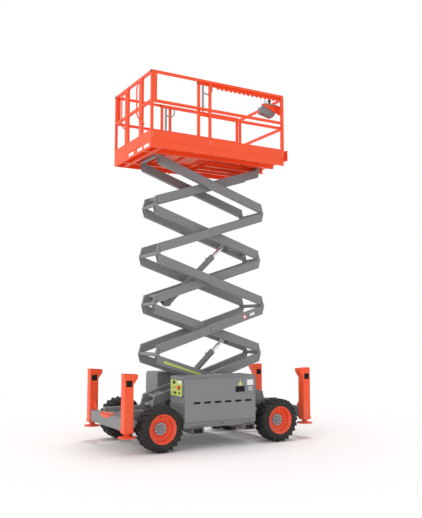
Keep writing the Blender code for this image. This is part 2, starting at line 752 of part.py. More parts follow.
# ---- platform ---------------------------------------------------------------------------
def tube_x(x, y, z):
    """A square tube along X whose outer face is at y and top is at z."""
    return block(x, side(1 if y > 0 else -1, (abs(y) - TUBE, abs(y))), (z - TUBE, z))


def post(x, y, z):
    """A square post whose low X face is at x and outer face at y."""
    return block((x, x + TUBE), side(1 if y > 0 else -1, (abs(y) - TUBE, abs(y))), z)


def platform_deck(body):
    skirt_in = DECK_Y - SKIRT_T
    add = [block(DECK_X, (-DECK_Y + 0.004, DECK_Y - 0.004), FLOOR_Z)]
    for sign in (-1, 1):
        add.append(block(DECK_X, side(sign, (skirt_in, DECK_Y)), SKIRT_Z))
        # long bearers outside the arms, roller channels inside them
        add.append(block((DECK_X[0] + 0.01, DECK_X[1] - 0.01), side(sign, (0.390, 0.440)),
                         (SKIRT_Z[0] + 0.004, FLOOR_Z[0] + 0.004)))
        web = side(sign, (0.098, 0.106))
        low = TOP_PIN_Z - 0.028 - 0.0015
        high = TOP_PIN_Z + 0.028 + 0.0015
        channel_x = (0.000, 1.168)
        add.append(block(channel_x, web, (low - 0.008, FLOOR_Z[0] + 0.004)))
        add.append(block(channel_x, side(sign, (0.098, 0.157)), (low - 0.008, low)))
        add.append(block(channel_x, side(sign, (0.098, 0.157)), (high, high + 0.012)))
        lug = [(BASE_X + 0.032, FLOOR_Z[0] + 0.004), (BASE_X - 0.032, FLOOR_Z[0] + 0.004)]
        lug += arc((BASE_X, TOP_PIN_Z), BOSS_R, 180, 360)
        y = side(sign, (OUTER_Y - LUG_HALF, OUTER_Y + LUG_HALF))
        add.append(plate(lug, "XZ", y))
    rear_skirt = (DECK_X[0], DECK_X[0] + SKIRT_T)
    add.append(block(rear_skirt, (-DECK_Y + 0.002, GATE_Y[0]), SKIRT_Z))
    add.append(block(rear_skirt, (GATE_Y[1], DECK_Y - 0.002), SKIRT_Z))
    add.append(block(rear_skirt, (-DECK_Y + 0.002, DECK_Y - 0.002), (SKIRT_Z[0], FLOOR_Z[0] + 0.002)))
    # cross bearers: shallow over the arms, deep at both ends
    shallow = (TOP_PIN_Z + BOSS_R + FREE, FLOOR_Z[0] + 0.003)
    for x in (-0.700, -0.350, 0.000, 0.620, 0.900):
        add.append(block((x - 0.030, x + 0.030), (-0.700, 0.700), shallow))
    add.append(block((DECK_X[0] + 0.150, DECK_X[0] + 0.210), (-0.710, 0.710),
                     (SKIRT_Z[0] + 0.008, FLOOR_Z[0] + 0.003)))
    cut = []
    for sign in (-1, 1):
        centre = sign * OUTER_Y
        cut.append(bore((BASE_X, centre - 0.06, TOP_PIN_Z), (BASE_X, centre + 0.06, TOP_PIN_Z),
                        PIN_R + RUN))
    node("platform_deck", body, "orange_paint", add, cut)


def side_rail(name, sign, body):
    y = sign * DECK_Y
    foot = SKIRT_Z[1] + SEAT
    top = TOP_RAIL_Z
    gate_edge = abs(GATE_Y[0] if sign < 0 else GATE_Y[1])
    rear = (DECK_X[0], DECK_X[0] + TUBE)
    add = [tube_x(DECK_X, y, top), tube_x(DECK_X, y, MID_RAIL_Z)]
    for x in (DECK_X[0], MID_POST_X, DECK_X[1] - TUBE):
        add.append(post(x, y, (foot, top - 0.004)))
    # corner plate between the top and middle rails
    add.append(block((DECK_X[0] + 0.002, PLATE_X), side(sign, (DECK_Y - 0.012, DECK_Y - 0.002)),
                     (MID_RAIL_Z - 0.010, top - 0.010)))
    # rear end up to the gate post
    for z in (top, MID_RAIL_Z):
        add.append(block(rear, side(sign, (gate_edge + 0.004, DECK_Y - 0.004)), (z - TUBE, z)))
    add.append(block(rear, side(sign, (gate_edge, gate_edge + GATE_POST_W)), (foot, top - 0.003)))
    # grab handle that stands out behind the gate post
    hand_y = sign * (gate_edge + GATE_POST_W / 2)
    out = DECK_X[0] - 0.070
    handle = [(DECK_X[0] + 0.010, hand_y, 4.960), (DECK_X[0] - 0.045, hand_y, 4.985),
              (out, hand_y, 5.060), (out, hand_y, 5.450), (DECK_X[0] - 0.045, hand_y, 5.530),
              (DECK_X[0] + 0.010, hand_y, 5.555)]
    add.append(pipe(handle, 0.011))
    if sign > 0:
        hinge = GATE_HINGE
        for z in GATE_HINGE_Z:
            add.append(rod((*hinge, z), (*hinge, z + 0.020), 0.009, 12))
            add.append(block((hinge[0] - 0.020, hinge[0] + 0.004), (hinge[1], hinge[1] + 0.012),
                             (z, z + 0.020)))
    node(name, body, "orange_paint", add)


def entry_gate(platform):
    hinge = GATE_HINGE
    body = Body("entry_gate", (*hinge, 5.100), platform)
    x = (DECK_X[0], DECK_X[0] + TUBE)
    y = (GATE_Y[0] + FREE, GATE_Y[1] - 0.014)
    bottom = FLOOR_Z[1] + FREE + 0.002
    add = [block((x[0], x[0] + SKIRT_T), y, (bottom, SKIRT_Z[1]))]
    for z in (TOP_RAIL_Z, MID_RAIL_Z):
        add.append(block(x, (y[0] + 0.002, y[1] - 0.002), (z - TUBE, z)))
    for low in (y[0], y[1] - TUBE):
        add.append(block(x, (low, low + TUBE), (SKIRT_Z[1] - 0.020, TOP_RAIL_Z - 0.002)))
    for z in GATE_HINGE_Z:
        add.append(rod((*hinge, z + 0.020 + SEAT), (*hinge, z + 0.090), 0.009, 12))
        add.append(block((hinge[0] - 0.016, hinge[0] + 0.002), (y[1] - 0.010, hinge[1]),
                         (z + 0.020 + SEAT, z + 0.090)))
    node("entry_gate", body, "orange_paint", add)


def extension(platform):
    body = Body("extension_deck", (EXT_POST_X, 0, FLOOR_Z[1]), platform)
    floor = (FLOOR_Z[1] + SEAT, FLOOR_Z[1] + SEAT + EXT_FLOOR_T)
    out = EXT_OUT_Y
    deck = [block((EXT_POST_X, EXT_NOSE_X), (-out, out), floor)]
    for sign in (-1, 1):
        deck.append(block((EXT_POST_X, EXT_NOSE_X), side(sign, (out - 0.016, out)),
                          (floor[0], EXT_SKIRT_Z)))
    deck.append(block((EXT_NOSE_X - 0.020, EXT_NOSE_X), (-DECK_Y + 0.004, DECK_Y - 0.004),
                      (floor[0], EXT_SKIRT_Z + 0.020)))
    node("extension_deck", body, "orange_paint", deck)
    foot = EXT_SKIRT_Z + SEAT
    front = (EXT_FRONT_X - TUBE, EXT_FRONT_X)
    rail = []
    for sign in (-1, 1):
        y = sign * out
        rail.append(tube_x((EXT_POST_X, EXT_FRONT_X), y, EXT_TOP_Z))
        rail.append(tube_x((EXT_POST_X, EXT_FRONT_X), y, EXT_MID_Z))
        rail.append(post(EXT_POST_X, y, (foot, EXT_TOP_Z - 0.003)))
        rail.append(post(EXT_FRONT_X - TUBE, y, (foot, EXT_TOP_Z - 0.003)))
    for z in (EXT_TOP_Z, EXT_MID_Z):
        rail.append(block(front, (-out + 0.003, out - 0.003), (z - TUBE, z)))
    node("extension_rail", body, "orange_paint", rail)
    # control box on a bracket from the near front post
    tail, nose = CONTROL_X
    low, high = CONTROL_Z
    y = (CONTROL_Y[0], CONTROL_Y[1])
    outline = [(tail, low + 0.012), (tail, high - 0.065), (tail + 0.035, high), (nose - 0.060, high),
               (nose - 0.110, low + 0.048), (nose - 0.165, low)]
    gusset = [(tail - 0.020, high), (nose, high), (nose, high - 0.150), (nose - 0.045, high - 0.150)]
    foot = block((nose - 0.045, nose), (-out + TUBE + SEAT, y[0] + 0.020), (high - 0.150, high - 0.004))
    node("platform_control_box", body, "grey_paint",
         [plate(outline, "XZ", y), plate(gusset, "XZ", (y[0] - 0.014, y[0] + 0.001)), foot])


# ---- assembly ---------------------------------------------------------------------------
clear_scene()
PARTS = collection("scissor_lift")
HELPERS = collection("cutters_and_joins")
MATERIALS = {name: material(name) for name in FINISHES}
BOOLEANS = []


def build():
    root = Body("chassis")
    main_frame(root)
    fork_tubes(root)
    axles(root)
    rear_step(root)
    cabinet_with_door("near", -1, CAB_X_NEAR, root)
    cabinet_with_door("far", 1, CAB_X_FAR, root)
    power_blocks(root)
    control_panel(root)
    for side_name, sign in (("near", -1), ("far", 1)):
        for end_name, end in (("rear", -1), ("front", 1)):
            jack(f"{end_name}_{side_name}", end, sign, root)
        wheel(f"rear_{side_name}", sign, REAR_AXLE_X, root)
        carrier = knuckle(side_name, sign, root)
        wheel(f"front_{side_name}", sign, FRONT_AXLE_X, carrier)
        if sign < 0:
            tie_rod(carrier)
    inner = inner_arm(0, root, LOWER)
    outer = outer_arm(0, inner, MIDDLE)
    cylinder("lower_cylinder", 0, inner)
    for level in range(1, LEVELS):
        outer = outer_arm(level, outer, LOWER)
        inner = inner_arm(level, outer, MIDDLE)
        if level == 2:
            cylinder("upper_cylinder", 2, inner)
    platform = Body("platform", (BASE_X, 0, TOP_PIN_Z), outer)
    platform_deck(platform)
    side_rail("near_rail", -1, platform)
    side_rail("far_rail", 1, platform)
    entry_gate(platform)
    extension(platform)


build()
add_booleans()
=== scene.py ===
"""Looks for a rough-terrain scissor lift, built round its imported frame.

Laid out as an add-on: the sizes and colours are properties, and each group of pieces is an
operator. Metres, +Z up; -X is the gate end, +X the steered end, -Y the near side.
"""
import json
import math

import bmesh
import bpy
from mathutils import Matrix, Vector


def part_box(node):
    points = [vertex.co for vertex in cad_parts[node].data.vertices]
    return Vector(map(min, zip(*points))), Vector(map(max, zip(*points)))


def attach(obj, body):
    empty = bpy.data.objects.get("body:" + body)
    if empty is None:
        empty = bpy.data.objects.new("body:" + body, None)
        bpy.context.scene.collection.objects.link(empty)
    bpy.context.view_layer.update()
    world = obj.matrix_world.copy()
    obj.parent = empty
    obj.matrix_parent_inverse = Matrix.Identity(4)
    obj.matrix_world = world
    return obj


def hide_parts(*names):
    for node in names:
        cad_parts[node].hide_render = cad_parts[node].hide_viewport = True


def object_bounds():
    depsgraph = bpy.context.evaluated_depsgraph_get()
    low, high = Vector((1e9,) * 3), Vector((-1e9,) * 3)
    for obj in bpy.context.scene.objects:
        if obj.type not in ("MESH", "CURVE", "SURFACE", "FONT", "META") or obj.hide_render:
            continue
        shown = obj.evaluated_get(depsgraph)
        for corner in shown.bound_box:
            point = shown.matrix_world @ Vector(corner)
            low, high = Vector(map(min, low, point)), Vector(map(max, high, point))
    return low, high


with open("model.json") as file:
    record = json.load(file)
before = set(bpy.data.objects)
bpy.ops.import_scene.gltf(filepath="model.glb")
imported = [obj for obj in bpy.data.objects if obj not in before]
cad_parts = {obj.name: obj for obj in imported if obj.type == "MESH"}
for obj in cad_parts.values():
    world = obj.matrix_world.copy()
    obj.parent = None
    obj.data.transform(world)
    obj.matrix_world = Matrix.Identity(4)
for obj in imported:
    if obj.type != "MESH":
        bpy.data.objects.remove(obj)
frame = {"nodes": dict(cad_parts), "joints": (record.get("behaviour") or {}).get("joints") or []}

bl_info = {
    "name": "Scissor lift looks",
    "version": (1, 0, 0),
    "blender": (4, 5, 0),
    "location": "View3D > Sidebar > Lift",
    "description": "Finishes, fittings and stage for a rough-terrain scissor lift",
    "category": "Object",
}

# ---- places that come from the frame ------------------------------------------------------
CAD_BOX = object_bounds()
JOINTS = {joint["name"]: joint for joint in frame["joints"]}
SIDES = (("near", -1), ("far", 1))
ENDS = (("rear", -1), ("front", 1))
LEVELS = 5
BASE_PIN = Vector(JOINTS["scissor_lift"]["pos_m"])
TOP_PIN = Vector(JOINTS["platform_level"]["pos_m"])
MID_PIN = Vector(JOINTS["outer_arm_1_pivot"]["pos_m"])
LEVEL_H = (TOP_PIN.z - BASE_PIN.z) / LEVELS
HALF_W = MID_PIN.x - BASE_PIN.x
STACK = 0.140            # height one folded level takes
SPAN = 2 * math.hypot(HALF_W, LEVEL_H / 2)
TUBE_ANGLE = math.atan2(LEVEL_H / 2, HALF_W) - math.asin(STACK / SPAN)
TUBE = 0.038             # square guard rail tube
PROUD = 0.0015           # how far a plate or label stands off its panel
RIM_R = 0.214            # rim seat under a tyre's bead
BEAM_FACE_X = 1.608      # outer face of the beams between the jacks
JACK = Vector((1.558, 0.700, 0.067))     # centre along, centre across, half width
OUTER_ARM_Y, INNER_ARM_Y = 0.3065, 0.2006
X_AXIS, Y_AXIS, Z_AXIS = Vector((1, 0, 0)), Vector((0, 1, 0)), Vector((0, 0, 1))


# ---- properties -------------------------------------------------------------------------
def colour_property(name, description, default):
    return bpy.props.FloatVectorProperty(name=name, description=description, subtype="COLOR",
                                         size=3, min=0.0, max=1.0, default=default)


def length_property(name, description, default):
    return bpy.props.FloatProperty(name=name, description=description, default=default,
                                   min=0.0, unit="LENGTH")


class LiftColours(bpy.types.PropertyGroup):
    orange: colour_property("Orange", "Platform, jacks and rims", (0.95, 0.084, 0.013))
    grey: colour_property("Grey", "Arms, chassis and cabinets", (0.215, 0.222, 0.233))
    rubber: colour_property("Rubber", "Tyres", (0.012, 0.0125, 0.0125))
    # Black also paints shade in the fork tube mouths and on the extension nose.
    black: colour_property("Black", "Caps, knobs and openings", (0.008, 0.008, 0.009))
    lime: colour_property("Lime", "Control panel and arm stripe", (0.56, 0.66, 0.13))
    white: colour_property("White", "Blank plates", (0.85, 0.85, 0.83))
    red: colour_property("Red", "Stop buttons", (0.72, 0.02, 0.012))
    amber: colour_property("Amber", "Door triangle", (0.70, 0.66, 0.16))
    dust: colour_property("Dust", "Dust on low surfaces", (0.36, 0.33, 0.29))


class LiftSizes(bpy.types.PropertyGroup):
    lugs: bpy.props.IntProperty(name="Tyre lugs", description="On each shoulder", default=22,
                                min=8)
    lug_depth: length_property("Lug depth", "Tread lug height", 0.014)
    slots: bpy.props.IntProperty(name="Door slots", description="Cooling slots on a door",
                                 default=6, min=1)
    slot_length: length_property("Slot length", "Length of a cooling slot", 0.115)
    slot_pitch: length_property("Slot pitch", "From one cooling slot to the next", 0.178)
    tooth_pitch: length_property("Rack pitch", "From one rack notch to the next", 0.083)
    bolt: length_property("Bolt", "Hexagon head, across corners, halved", 0.009)
    tread_pitch: length_property("Tread pitch", "From one floor bar to the next", 0.046)


class LiftStage(bpy.types.PropertyGroup):
    lens: bpy.props.FloatProperty(name="Lens", description="Focal length", default=47.6,
                                  unit="CAMERA")
    yaw: bpy.props.FloatProperty(name="Yaw", description="Camera turn from +Y towards +X",
                                 default=math.radians(29.79), subtype="ANGLE")
    pitch: bpy.props.FloatProperty(name="Pitch", description="Camera tilt above level",
                                   default=math.radians(5.74), subtype="ANGLE")
    place: bpy.props.FloatVectorProperty(name="Place", description="Camera place", size=3,
                                         default=(-5.406, -9.798, 1.769),
                                         subtype="TRANSLATION")
    sky: bpy.props.FloatProperty(name="Sky", description="Even light from all round",
                                 default=0.80, min=0.0)
    key: bpy.props.FloatProperty(name="Key", description="Overhead light", default=0.75,
                                 min=0.0)
    fill: bpy.props.FloatProperty(name="Fill", description="Light from the gate end",
                                  default=1.0, min=0.0)


# ---- shader maths -----------------------------------------------------------------------
class Value:
    """A shader socket that takes arithmetic; each expression adds Math nodes."""

    def __init__(self, tree, socket):
        self.tree = tree
        self.socket = socket

    def maths(self, operation, first, second):
        made = self.tree.nodes.new("ShaderNodeMath")
        made.operation = operation
        for spot, item in zip(made.inputs, (first, second)):
            if isinstance(item, Value):
                self.tree.links.new(item.socket, spot)
            else:
                spot.default_value = item
        return Value(self.tree, made.outputs[0])

    def __add__(self, other):
        return self.maths("ADD", self, other)

    __radd__ = __add__

    def __sub__(self, other):
        return self.maths("SUBTRACT", self, other)

    def __rsub__(self, other):
        return self.maths("SUBTRACT", other, self)

    def __mul__(self, other):
        return self.maths("MULTIPLY", self, other)

    __rmul__ = __mul__

    def __pow__(self, other):
        return self.maths("POWER", self, other)


class Finish:
    """One material under construction: its tree, and the shader at its end."""

    def __init__(self, name):
        self.material = bpy.data.materials.new(name)
        self.material.use_nodes = True
        self.tree = self.material.node_tree
        self.shader = self.tree.nodes["Principled BSDF"]
        self.place = self.node("ShaderNodeTexCoord", output="Object")

    def node(self, kind, settings=None, inputs=None, output=0):
        """Adds a node: its settings first, then its sockets' values or links."""
        made = self.tree.nodes.new(kind)
        for key, value in (settings or {}).items():
            setattr(made, key, value)
        for key, value in (inputs or {}).items():
            self.put(made.inputs[key], value)
        return Value(self.tree, made.outputs[output])

    def put(self, spot, value):
        if isinstance(value, Value):
            self.tree.links.new(value.socket, spot)
        else:
            spot.default_value = value

    def noise(self, scale, detail=2.0, stretch=None):
        place = self.place
        if stretch:
            place = self.node("ShaderNodeMapping", inputs={"Vector": place, "Scale": stretch})
        return self.node("ShaderNodeTexNoise",
                         inputs={"Vector": place, "Scale": scale, "Detail": detail})

    def ramp(self, value, low, high):
        """0 below low, 1 above high, smooth between; low may be the larger."""
        return self.node("ShaderNodeMapRange", {"interpolation_type": "SMOOTHSTEP"},
                         {"Value": value, "From Min": low, "From Max": high})

    def mix(self, factor, first, second):
        """Two colours by a factor."""
        return self.node("ShaderNodeMix", {"data_type": "RGBA"},
                         {0: factor, 6: first, 7: second}, output=2)

    def height(self):
        return self.node("ShaderNodeSeparateXYZ", inputs={0: self.place}, output=2)

    def edges(self, radius):
        """A rounded normal, and a mask that is 1 along sharp edges."""
        rounded = self.node("ShaderNodeBevel", {"samples": 4}, {"Radius": radius})
        flat = self.node("ShaderNodeNewGeometry", output="Normal")
        same = self.node("ShaderNodeVectorMath", {"operation": "DOT_PRODUCT"},
                         {0: rounded, 1: flat}, output="Value")
        return rounded, self.ramp(1.0 - same, 0.004, 0.12)

    def bump(self, height, distance, strength, normal=None):
        inputs = {"Height": height, "Distance": distance, "Strength": strength}
        if normal:
            inputs["Normal"] = normal
        return self.node("ShaderNodeBump", inputs=inputs)

    def done(self, **sockets):
        for key, value in sockets.items():
            self.put(self.shader.inputs[key.replace("_", " ")], value)
        return self.material


def shade(colour, amount):
    return (*[min(1.0, part * amount) for part in colour], 1.0)


def painted_steel(name, colour, gloss, dust, dust_height=1.0, rounded=0.0025):
    """Powder coat: faint mottle, orange peel, worn edges, and dust near the ground."""
    finish = Finish(name)
    normal, edge = finish.edges(rounded)
    cloud = finish.noise(1.9, 3.0)
    speck = finish.noise(46.0, 4.0)
    runs = finish.noise(7.0, 3.0, (3.0, 3.0, 0.22))
    colour_now = finish.mix(cloud, shade(colour, 0.93), shade(colour, 1.05))
    colour_now = finish.mix(finish.ramp(runs, 0.50, 0.80) * 0.10, colour_now,
                            shade(colour, 0.72))
    colour_now = finish.mix(edge * finish.ramp(speck, 0.42, 0.62) * 0.35, colour_now,
                            shade(colour, 1.35))
    low = finish.ramp(finish.height(), dust_height, 0.05)
    low = low * finish.ramp(speck + cloud, 0.7, 1.3)
    colour_now = finish.mix(low * dust, colour_now, (*setting("lift_colours").dust, 1.0))
    peel = finish.noise(420.0, 1.0)
    return finish.done(
        Base_Color=colour_now,
        Roughness=gloss + 0.16 * cloud + low * (0.5 * dust) - edge * 0.06,
        Coat_Weight=0.05,
        Coat_Roughness=0.25,
        Normal=finish.bump(peel + 0.6 * speck, 0.0006, 0.16, normal),
    )


def tyre_rubber(name, colour, dust):
    """Dull rubber with a dusty bloom and a fine moulded grain."""
    finish = Finish(name)
    bloom = finish.noise(9.0, 5.0)
    grain = finish.noise(260.0, 3.0)
    dusty = finish.ramp(bloom + 0.35 * grain, 0.52, 0.95)
    return finish.done(
        Base_Color=finish.mix(dusty * 0.12, (*colour, 1.0), shade(dust, 0.55)),
        Roughness=0.66 + 0.22 * bloom,
        Normal=finish.bump(grain + bloom, 0.0010, 0.25),
    )


def moulded_plastic(name, colour, gloss):
    """Plastic with a fine spark grain and handling marks."""
    finish = Finish(name)
    grain = finish.noise(520.0, 2.0)
    marks = finish.noise(24.0, 4.0)
    return finish.done(
        Base_Color=finish.mix(marks * 0.5, shade(colour, 0.90), shade(colour, 1.12)),
        Roughness=gloss + 0.18 * marks,
        Normal=finish.bump(grain, 0.0004, 0.22),
    )


def metal(name, colour, gloss, stretch, strength):
    """Bare metal with fine marks drawn out along one direction."""
    finish = Finish(name)
    drawn = finish.noise(60.0, 3.0, stretch)
    stain = finish.noise(14.0, 4.0)
    return finish.done(
        Base_Color=finish.mix(stain, shade(colour, 0.82), shade(colour, 1.08)),
        Metallic=1.0,
        Roughness=gloss + 0.14 * drawn + 0.10 * stain,
        Normal=finish.bump(drawn, 0.0004, strength),
    )


def printed_vinyl(name, colour):
    """Label film with a little soiling from handling."""
    finish = Finish(name)
    soil = finish.noise(38.0, 5.0)
    return finish.done(
        Base_Color=finish.mix(finish.ramp(soil, 0.50, 0.78) * 0.22, (*colour, 1.0),
                              shade(colour, 0.62)),
        Roughness=0.34 + 0.20 * soil,
        Normal=finish.bump(soil, 0.0002, 0.10),
    )


MATERIALS = {}


def setting(group):
    return getattr(bpy.context.scene, group)


# ---- shapes -----------------------------------------------------------------------------
class Piece:
    """Collects closed shapes, in world metres, and ends as one object on one body."""

    def __init__(self):
        self.mesh = bmesh.new()

    def take(self, shape, bevel=0.0, place=None):
        """Adds a shape, with its sharp edges rounded and its faces turned outwards."""
        bmesh.ops.remove_doubles(shape, verts=shape.verts, dist=1e-6)
        bmesh.ops.recalc_face_normals(shape, faces=shape.faces)
        if bevel:
            sharp = [edge for edge in shape.edges if edge.calc_face_angle(0.0) > 0.6]
            bmesh.ops.bevel(shape, geom=sharp, offset=bevel, segments=2, affect="EDGES",
                            profile=0.5, clamp_overlap=True)
        if place:
            bmesh.ops.transform(shape, matrix=place, verts=shape.verts)
        held = bpy.data.meshes.new("held")
        shape.to_mesh(held)
        shape.free()
        self.add(held)

    def add(self, mesh, place=None):
        if place:
            mesh.transform(place)
        self.mesh.from_mesh(mesh)
        bpy.data.meshes.remove(mesh)

    def box(self, x, y, z, bevel=0.0, place=None):
        shape = bmesh.new()
        bmesh.ops.create_cube(shape, size=1.0)
        for vert in shape.verts:
            for axis, limits in enumerate((x, y, z)):
                vert.co[axis] = max(limits) if vert.co[axis] > 0 else min(limits)
        self.take(shape, bevel, place)

    def prism(self, outline, axis, low, high, bevel=0.0, place=None):
        """An outline on the plane across an axis ("X", "Y" or "Z"), between two limits."""
        def spot(point, depth):
            u, v = point
            return {"X": (depth, u, v), "Y": (u, depth, v), "Z": (u, v, depth)}[axis]
        shape = bmesh.new()
        rings = [[shape.verts.new(spot(point, depth)) for point in outline]
                 for depth in (low, high)]
        shape.faces.new(rings[0])
        shape.faces.new(rings[1])
        for index in range(len(outline)):
            after = (index + 1) % len(outline)
            shape.faces.new((rings[0][index], rings[0][after], rings[1][after],
                             rings[1][index]))
        self.take(shape, bevel, place)

    def turned(self, profile, centre, axis, steps=48, place=None):
        """A profile of (radius, height) turned about an axis; it closes on itself, or at
        its two ends where their radius is 0."""
        turn = Vector(axis).to_track_quat("Z", "Y").to_matrix().to_4x4()
        seat = Matrix.Translation(centre) @ turn
        shape = bmesh.new()
        rings = []
        for radius, height in profile:
            if radius < 1e-6:
                rings.append([shape.verts.new((0, 0, height))] * steps)
            else:
                rings.append([shape.verts.new((radius * math.cos(a), radius * math.sin(a),
                                               height))
                              for a in (2 * math.pi * i / steps for i in range(steps))])
        closed = profile[0][0] > 1e-6
        pairs = list(zip(rings, rings[1:]))
        if closed:
            pairs.append((rings[-1], rings[0]))
        for one, two in pairs:
            for index in range(steps):
                after = (index + 1) % steps
                corners = []
                for vert in (one[index], one[after], two[after], two[index]):
                    if vert not in corners:
                        corners.append(vert)
                if len(corners) > 2:
                    shape.faces.new(corners)
        self.take(shape, 0.0, (place or Matrix.Identity(4)) @ seat)

    def tube(self, path, radius, sides=12, place=None):
        """A round bar through points, with flat ends."""
        points = [Vector(point) for point in path]
        shape = bmesh.new()
        rings = []
        across = None
        for index, point in enumerate(points):
            before = points[max(index - 1, 0)]
            after = points[min(index + 1, len(points) - 1)]
            along = (after - before).normalized()
            if across is None:
                across = along.orthogonal().normalized()
            across = (across - along * across.dot(along)).normalized()
            other = along.cross(across)
            rings.append([shape.verts.new(point + radius * (math.cos(a) * across
                                                            + math.sin(a) * other))
                          for a in (2 * math.pi * i / sides for i in range(sides))])
        shape.faces.new(rings[0])
        shape.faces.new(rings[-1])
        for one, two in zip(rings, rings[1:]):
            for index in range(sides):
                after = (index + 1) % sides
                shape.faces.new((one[index], one[after], two[after], two[index]))
        self.take(shape, 0.0, place)

    def done(self, name, body, finish, replaces=()):
        mesh = bpy.data.meshes.new(name)
        self.mesh.to_mesh(mesh)
        self.mesh.free()
        mesh.shade_smooth()
        mesh.set_sharp_from_angle(angle=math.radians(32))
        mesh.materials.clear()
        mesh.materials.append(MATERIALS[finish])
        for face in mesh.polygons:
            face.material_index = 0
        piece = bpy.data.objects.new(name, mesh)
        bpy.context.scene.collection.objects.link(piece)
        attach(piece, body)
        if replaces:
            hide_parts(*replaces)
        return piece


def arc(centre, radius, start, end, steps):
    """Points on an arc, with its angles in degrees."""
    angles = [math.radians(start + (end - start) * i / steps) for i in range(steps + 1)]
    return [(centre[0] + radius * math.cos(a), centre[1] + radius * math.sin(a))
            for a in angles]


def rounded_outline(u, v, radius, steps=5):
    """A rectangle between limits, with round corners."""
    points = []
    for corner_u, corner_v, start in ((max(u) - radius, max(v) - radius, 0),
                                      (min(u) + radius, max(v) - radius, 90),
                                      (min(u) + radius, min(v) + radius, 180),
                                      (max(u) - radius, min(v) + radius, 270)):
        points += arc((corner_u, corner_v), radius, start, start + 90, steps)
    return points


# ---- repeated pieces --------------------------------------------------------------------
def repeat_tree():
    """Copies of a pattern, each shifted and turned from the one before by the same step."""
    tree = bpy.data.node_groups.new("repeat_pattern", "GeometryNodeTree")
    face = tree.interface
    for name, kind in (("Pattern", "NodeSocketObject"), ("Count", "NodeSocketInt"),
                       ("Shift", "NodeSocketVector"), ("Turn", "NodeSocketVector"),
                       ("Finish", "NodeSocketMaterial")):
        face.new_socket(name, in_out="INPUT", socket_type=kind)
    face.new_socket("Geometry", in_out="OUTPUT", socket_type="NodeSocketGeometry")
    given = tree.nodes.new("NodeGroupInput").outputs
    result = tree.nodes.new("NodeGroupOutput").inputs
    link = tree.links.new

    def add(kind, **settings):
        made = tree.nodes.new(kind)
        for key, value in settings.items():
            setattr(made, key, value)
        return made

    index = add("GeometryNodeInputIndex")
    steps = []
    for name in ("Shift", "Turn"):
        scaled = add("ShaderNodeVectorMath", operation="SCALE")
        link(given[name], scaled.inputs[0])
        link(index.outputs[0], scaled.inputs["Scale"])
        steps.append(scaled.outputs[0])
    points = add("GeometryNodePoints")
    link(given["Count"], points.inputs["Count"])
    link(steps[0], points.inputs["Position"])
    turn = add("FunctionNodeEulerToRotation")
    link(steps[1], turn.inputs[0])
    pattern = add("GeometryNodeObjectInfo")
    link(given["Pattern"], pattern.inputs["Object"])
    copies = add("GeometryNodeInstanceOnPoints")
    link(points.outputs[0], copies.inputs["Points"])
    link(pattern.outputs["Geometry"], copies.inputs["Instance"])
    link(turn.outputs[0], copies.inputs["Rotation"])
    real = add("GeometryNodeRealizeInstances")
    link(copies.outputs[0], real.inputs[0])
    coat = add("GeometryNodeSetMaterial")
    link(real.outputs[0], coat.inputs["Geometry"])
    link(given["Finish"], coat.inputs["Material"])
    link(coat.outputs[0], result[0])
    return tree


def repeated(pattern, count, finish, shift=(0, 0, 0), turn=(0, 0, 0), start=None):
    """The mesh of a pattern repeated by the tree; start takes the row to its place."""
    tree = bpy.data.node_groups.get("repeat_pattern") or repeat_tree()
    mesh = bpy.data.meshes.new("pattern")
    pattern.mesh.to_mesh(mesh)
    source = bpy.data.objects.new("pattern", mesh)
    host = bpy.data.objects.new("row", bpy.data.meshes.new("row"))
    for obj in (source, host):
        bpy.context.scene.collection.objects.link(obj)
    modifier = host.modifiers.new("repeat", "NODES")
    modifier.node_group = tree
    values = {"Pattern": source, "Count": count, "Shift": tuple(shift), "Turn": tuple(turn),
              "Finish": MATERIALS[finish]}
    for item in tree.interface.items_tree:
        if item.in_out == "INPUT":
            modifier[item.identifier] = values[item.name]
    graph = bpy.context.evaluated_depsgraph_get()
    graph.update()
    made = bpy.data.meshes.new_from_object(host.evaluated_get(graph))
    for obj in (source, host):
        bpy.data.objects.remove(obj, do_unlink=True)
    if start:
        made.transform(start)
    return made


def hex_bolt(size, height, washer=True):
    """A hexagon head on its washer, standing up from the origin."""
    bolt = Piece()
    if washer:
        bolt.turned([(0, 0), (size * 1.45, 0), (size * 1.45, size * 0.2), (0, size * 0.2)],
                    (0, 0, 0), Z_AXIS, 16)
    bolt.turned([(0, 0), (size, 0), (size, height * 0.85), (size * 0.84, height), (0, height)],
                (0, 0, 0), Z_AXIS, 6)
    return bolt


def facing(spot, axis):
    """Takes a pattern that stands up from the origin to a spot, facing along an axis."""
    return Matrix.Translation(spot) @ Vector(axis).to_track_quat("Z", "Y").to_matrix().to_4x4()


def add_bolts(piece, bolt, spot, axis, count=1, shift=(0, 0, 0), finish="zinc"):
    """Adds a row of bolts that face along an axis; the shift is in world metres."""
    bmesh.ops.transform(bolt.mesh, matrix=facing((0, 0, 0), axis), verts=bolt.mesh.verts)
    piece.add(repeated(bolt, count, finish, shift=shift, start=Matrix.Translation(spot)))


def add_ring(piece, bolt, radius, count, spot, axis):
    """Adds a ring of bolts about an axis, facing along it."""
    bmesh.ops.translate(bolt.mesh, verts=bolt.mesh.verts, vec=(radius, 0, 0))
    piece.add(repeated(bolt, count, "zinc", turn=(0, 0, 2 * math.pi / count),
                       start=facing(spot, axis)))


def arm_frame(level, leans_right):
    """Arm frame at rest: origin at the arm's middle, +X to its upper end."""
    middle = MID_PIN + Z_AXIS * (level * LEVEL_H)
    turn = Matrix.Rotation(-TUBE_ANGLE, 4, "Y")
    if not leans_right:
        turn = Matrix.Rotation(math.pi, 4, "Z") @ turn
    return Matrix.Translation(middle) @ turn


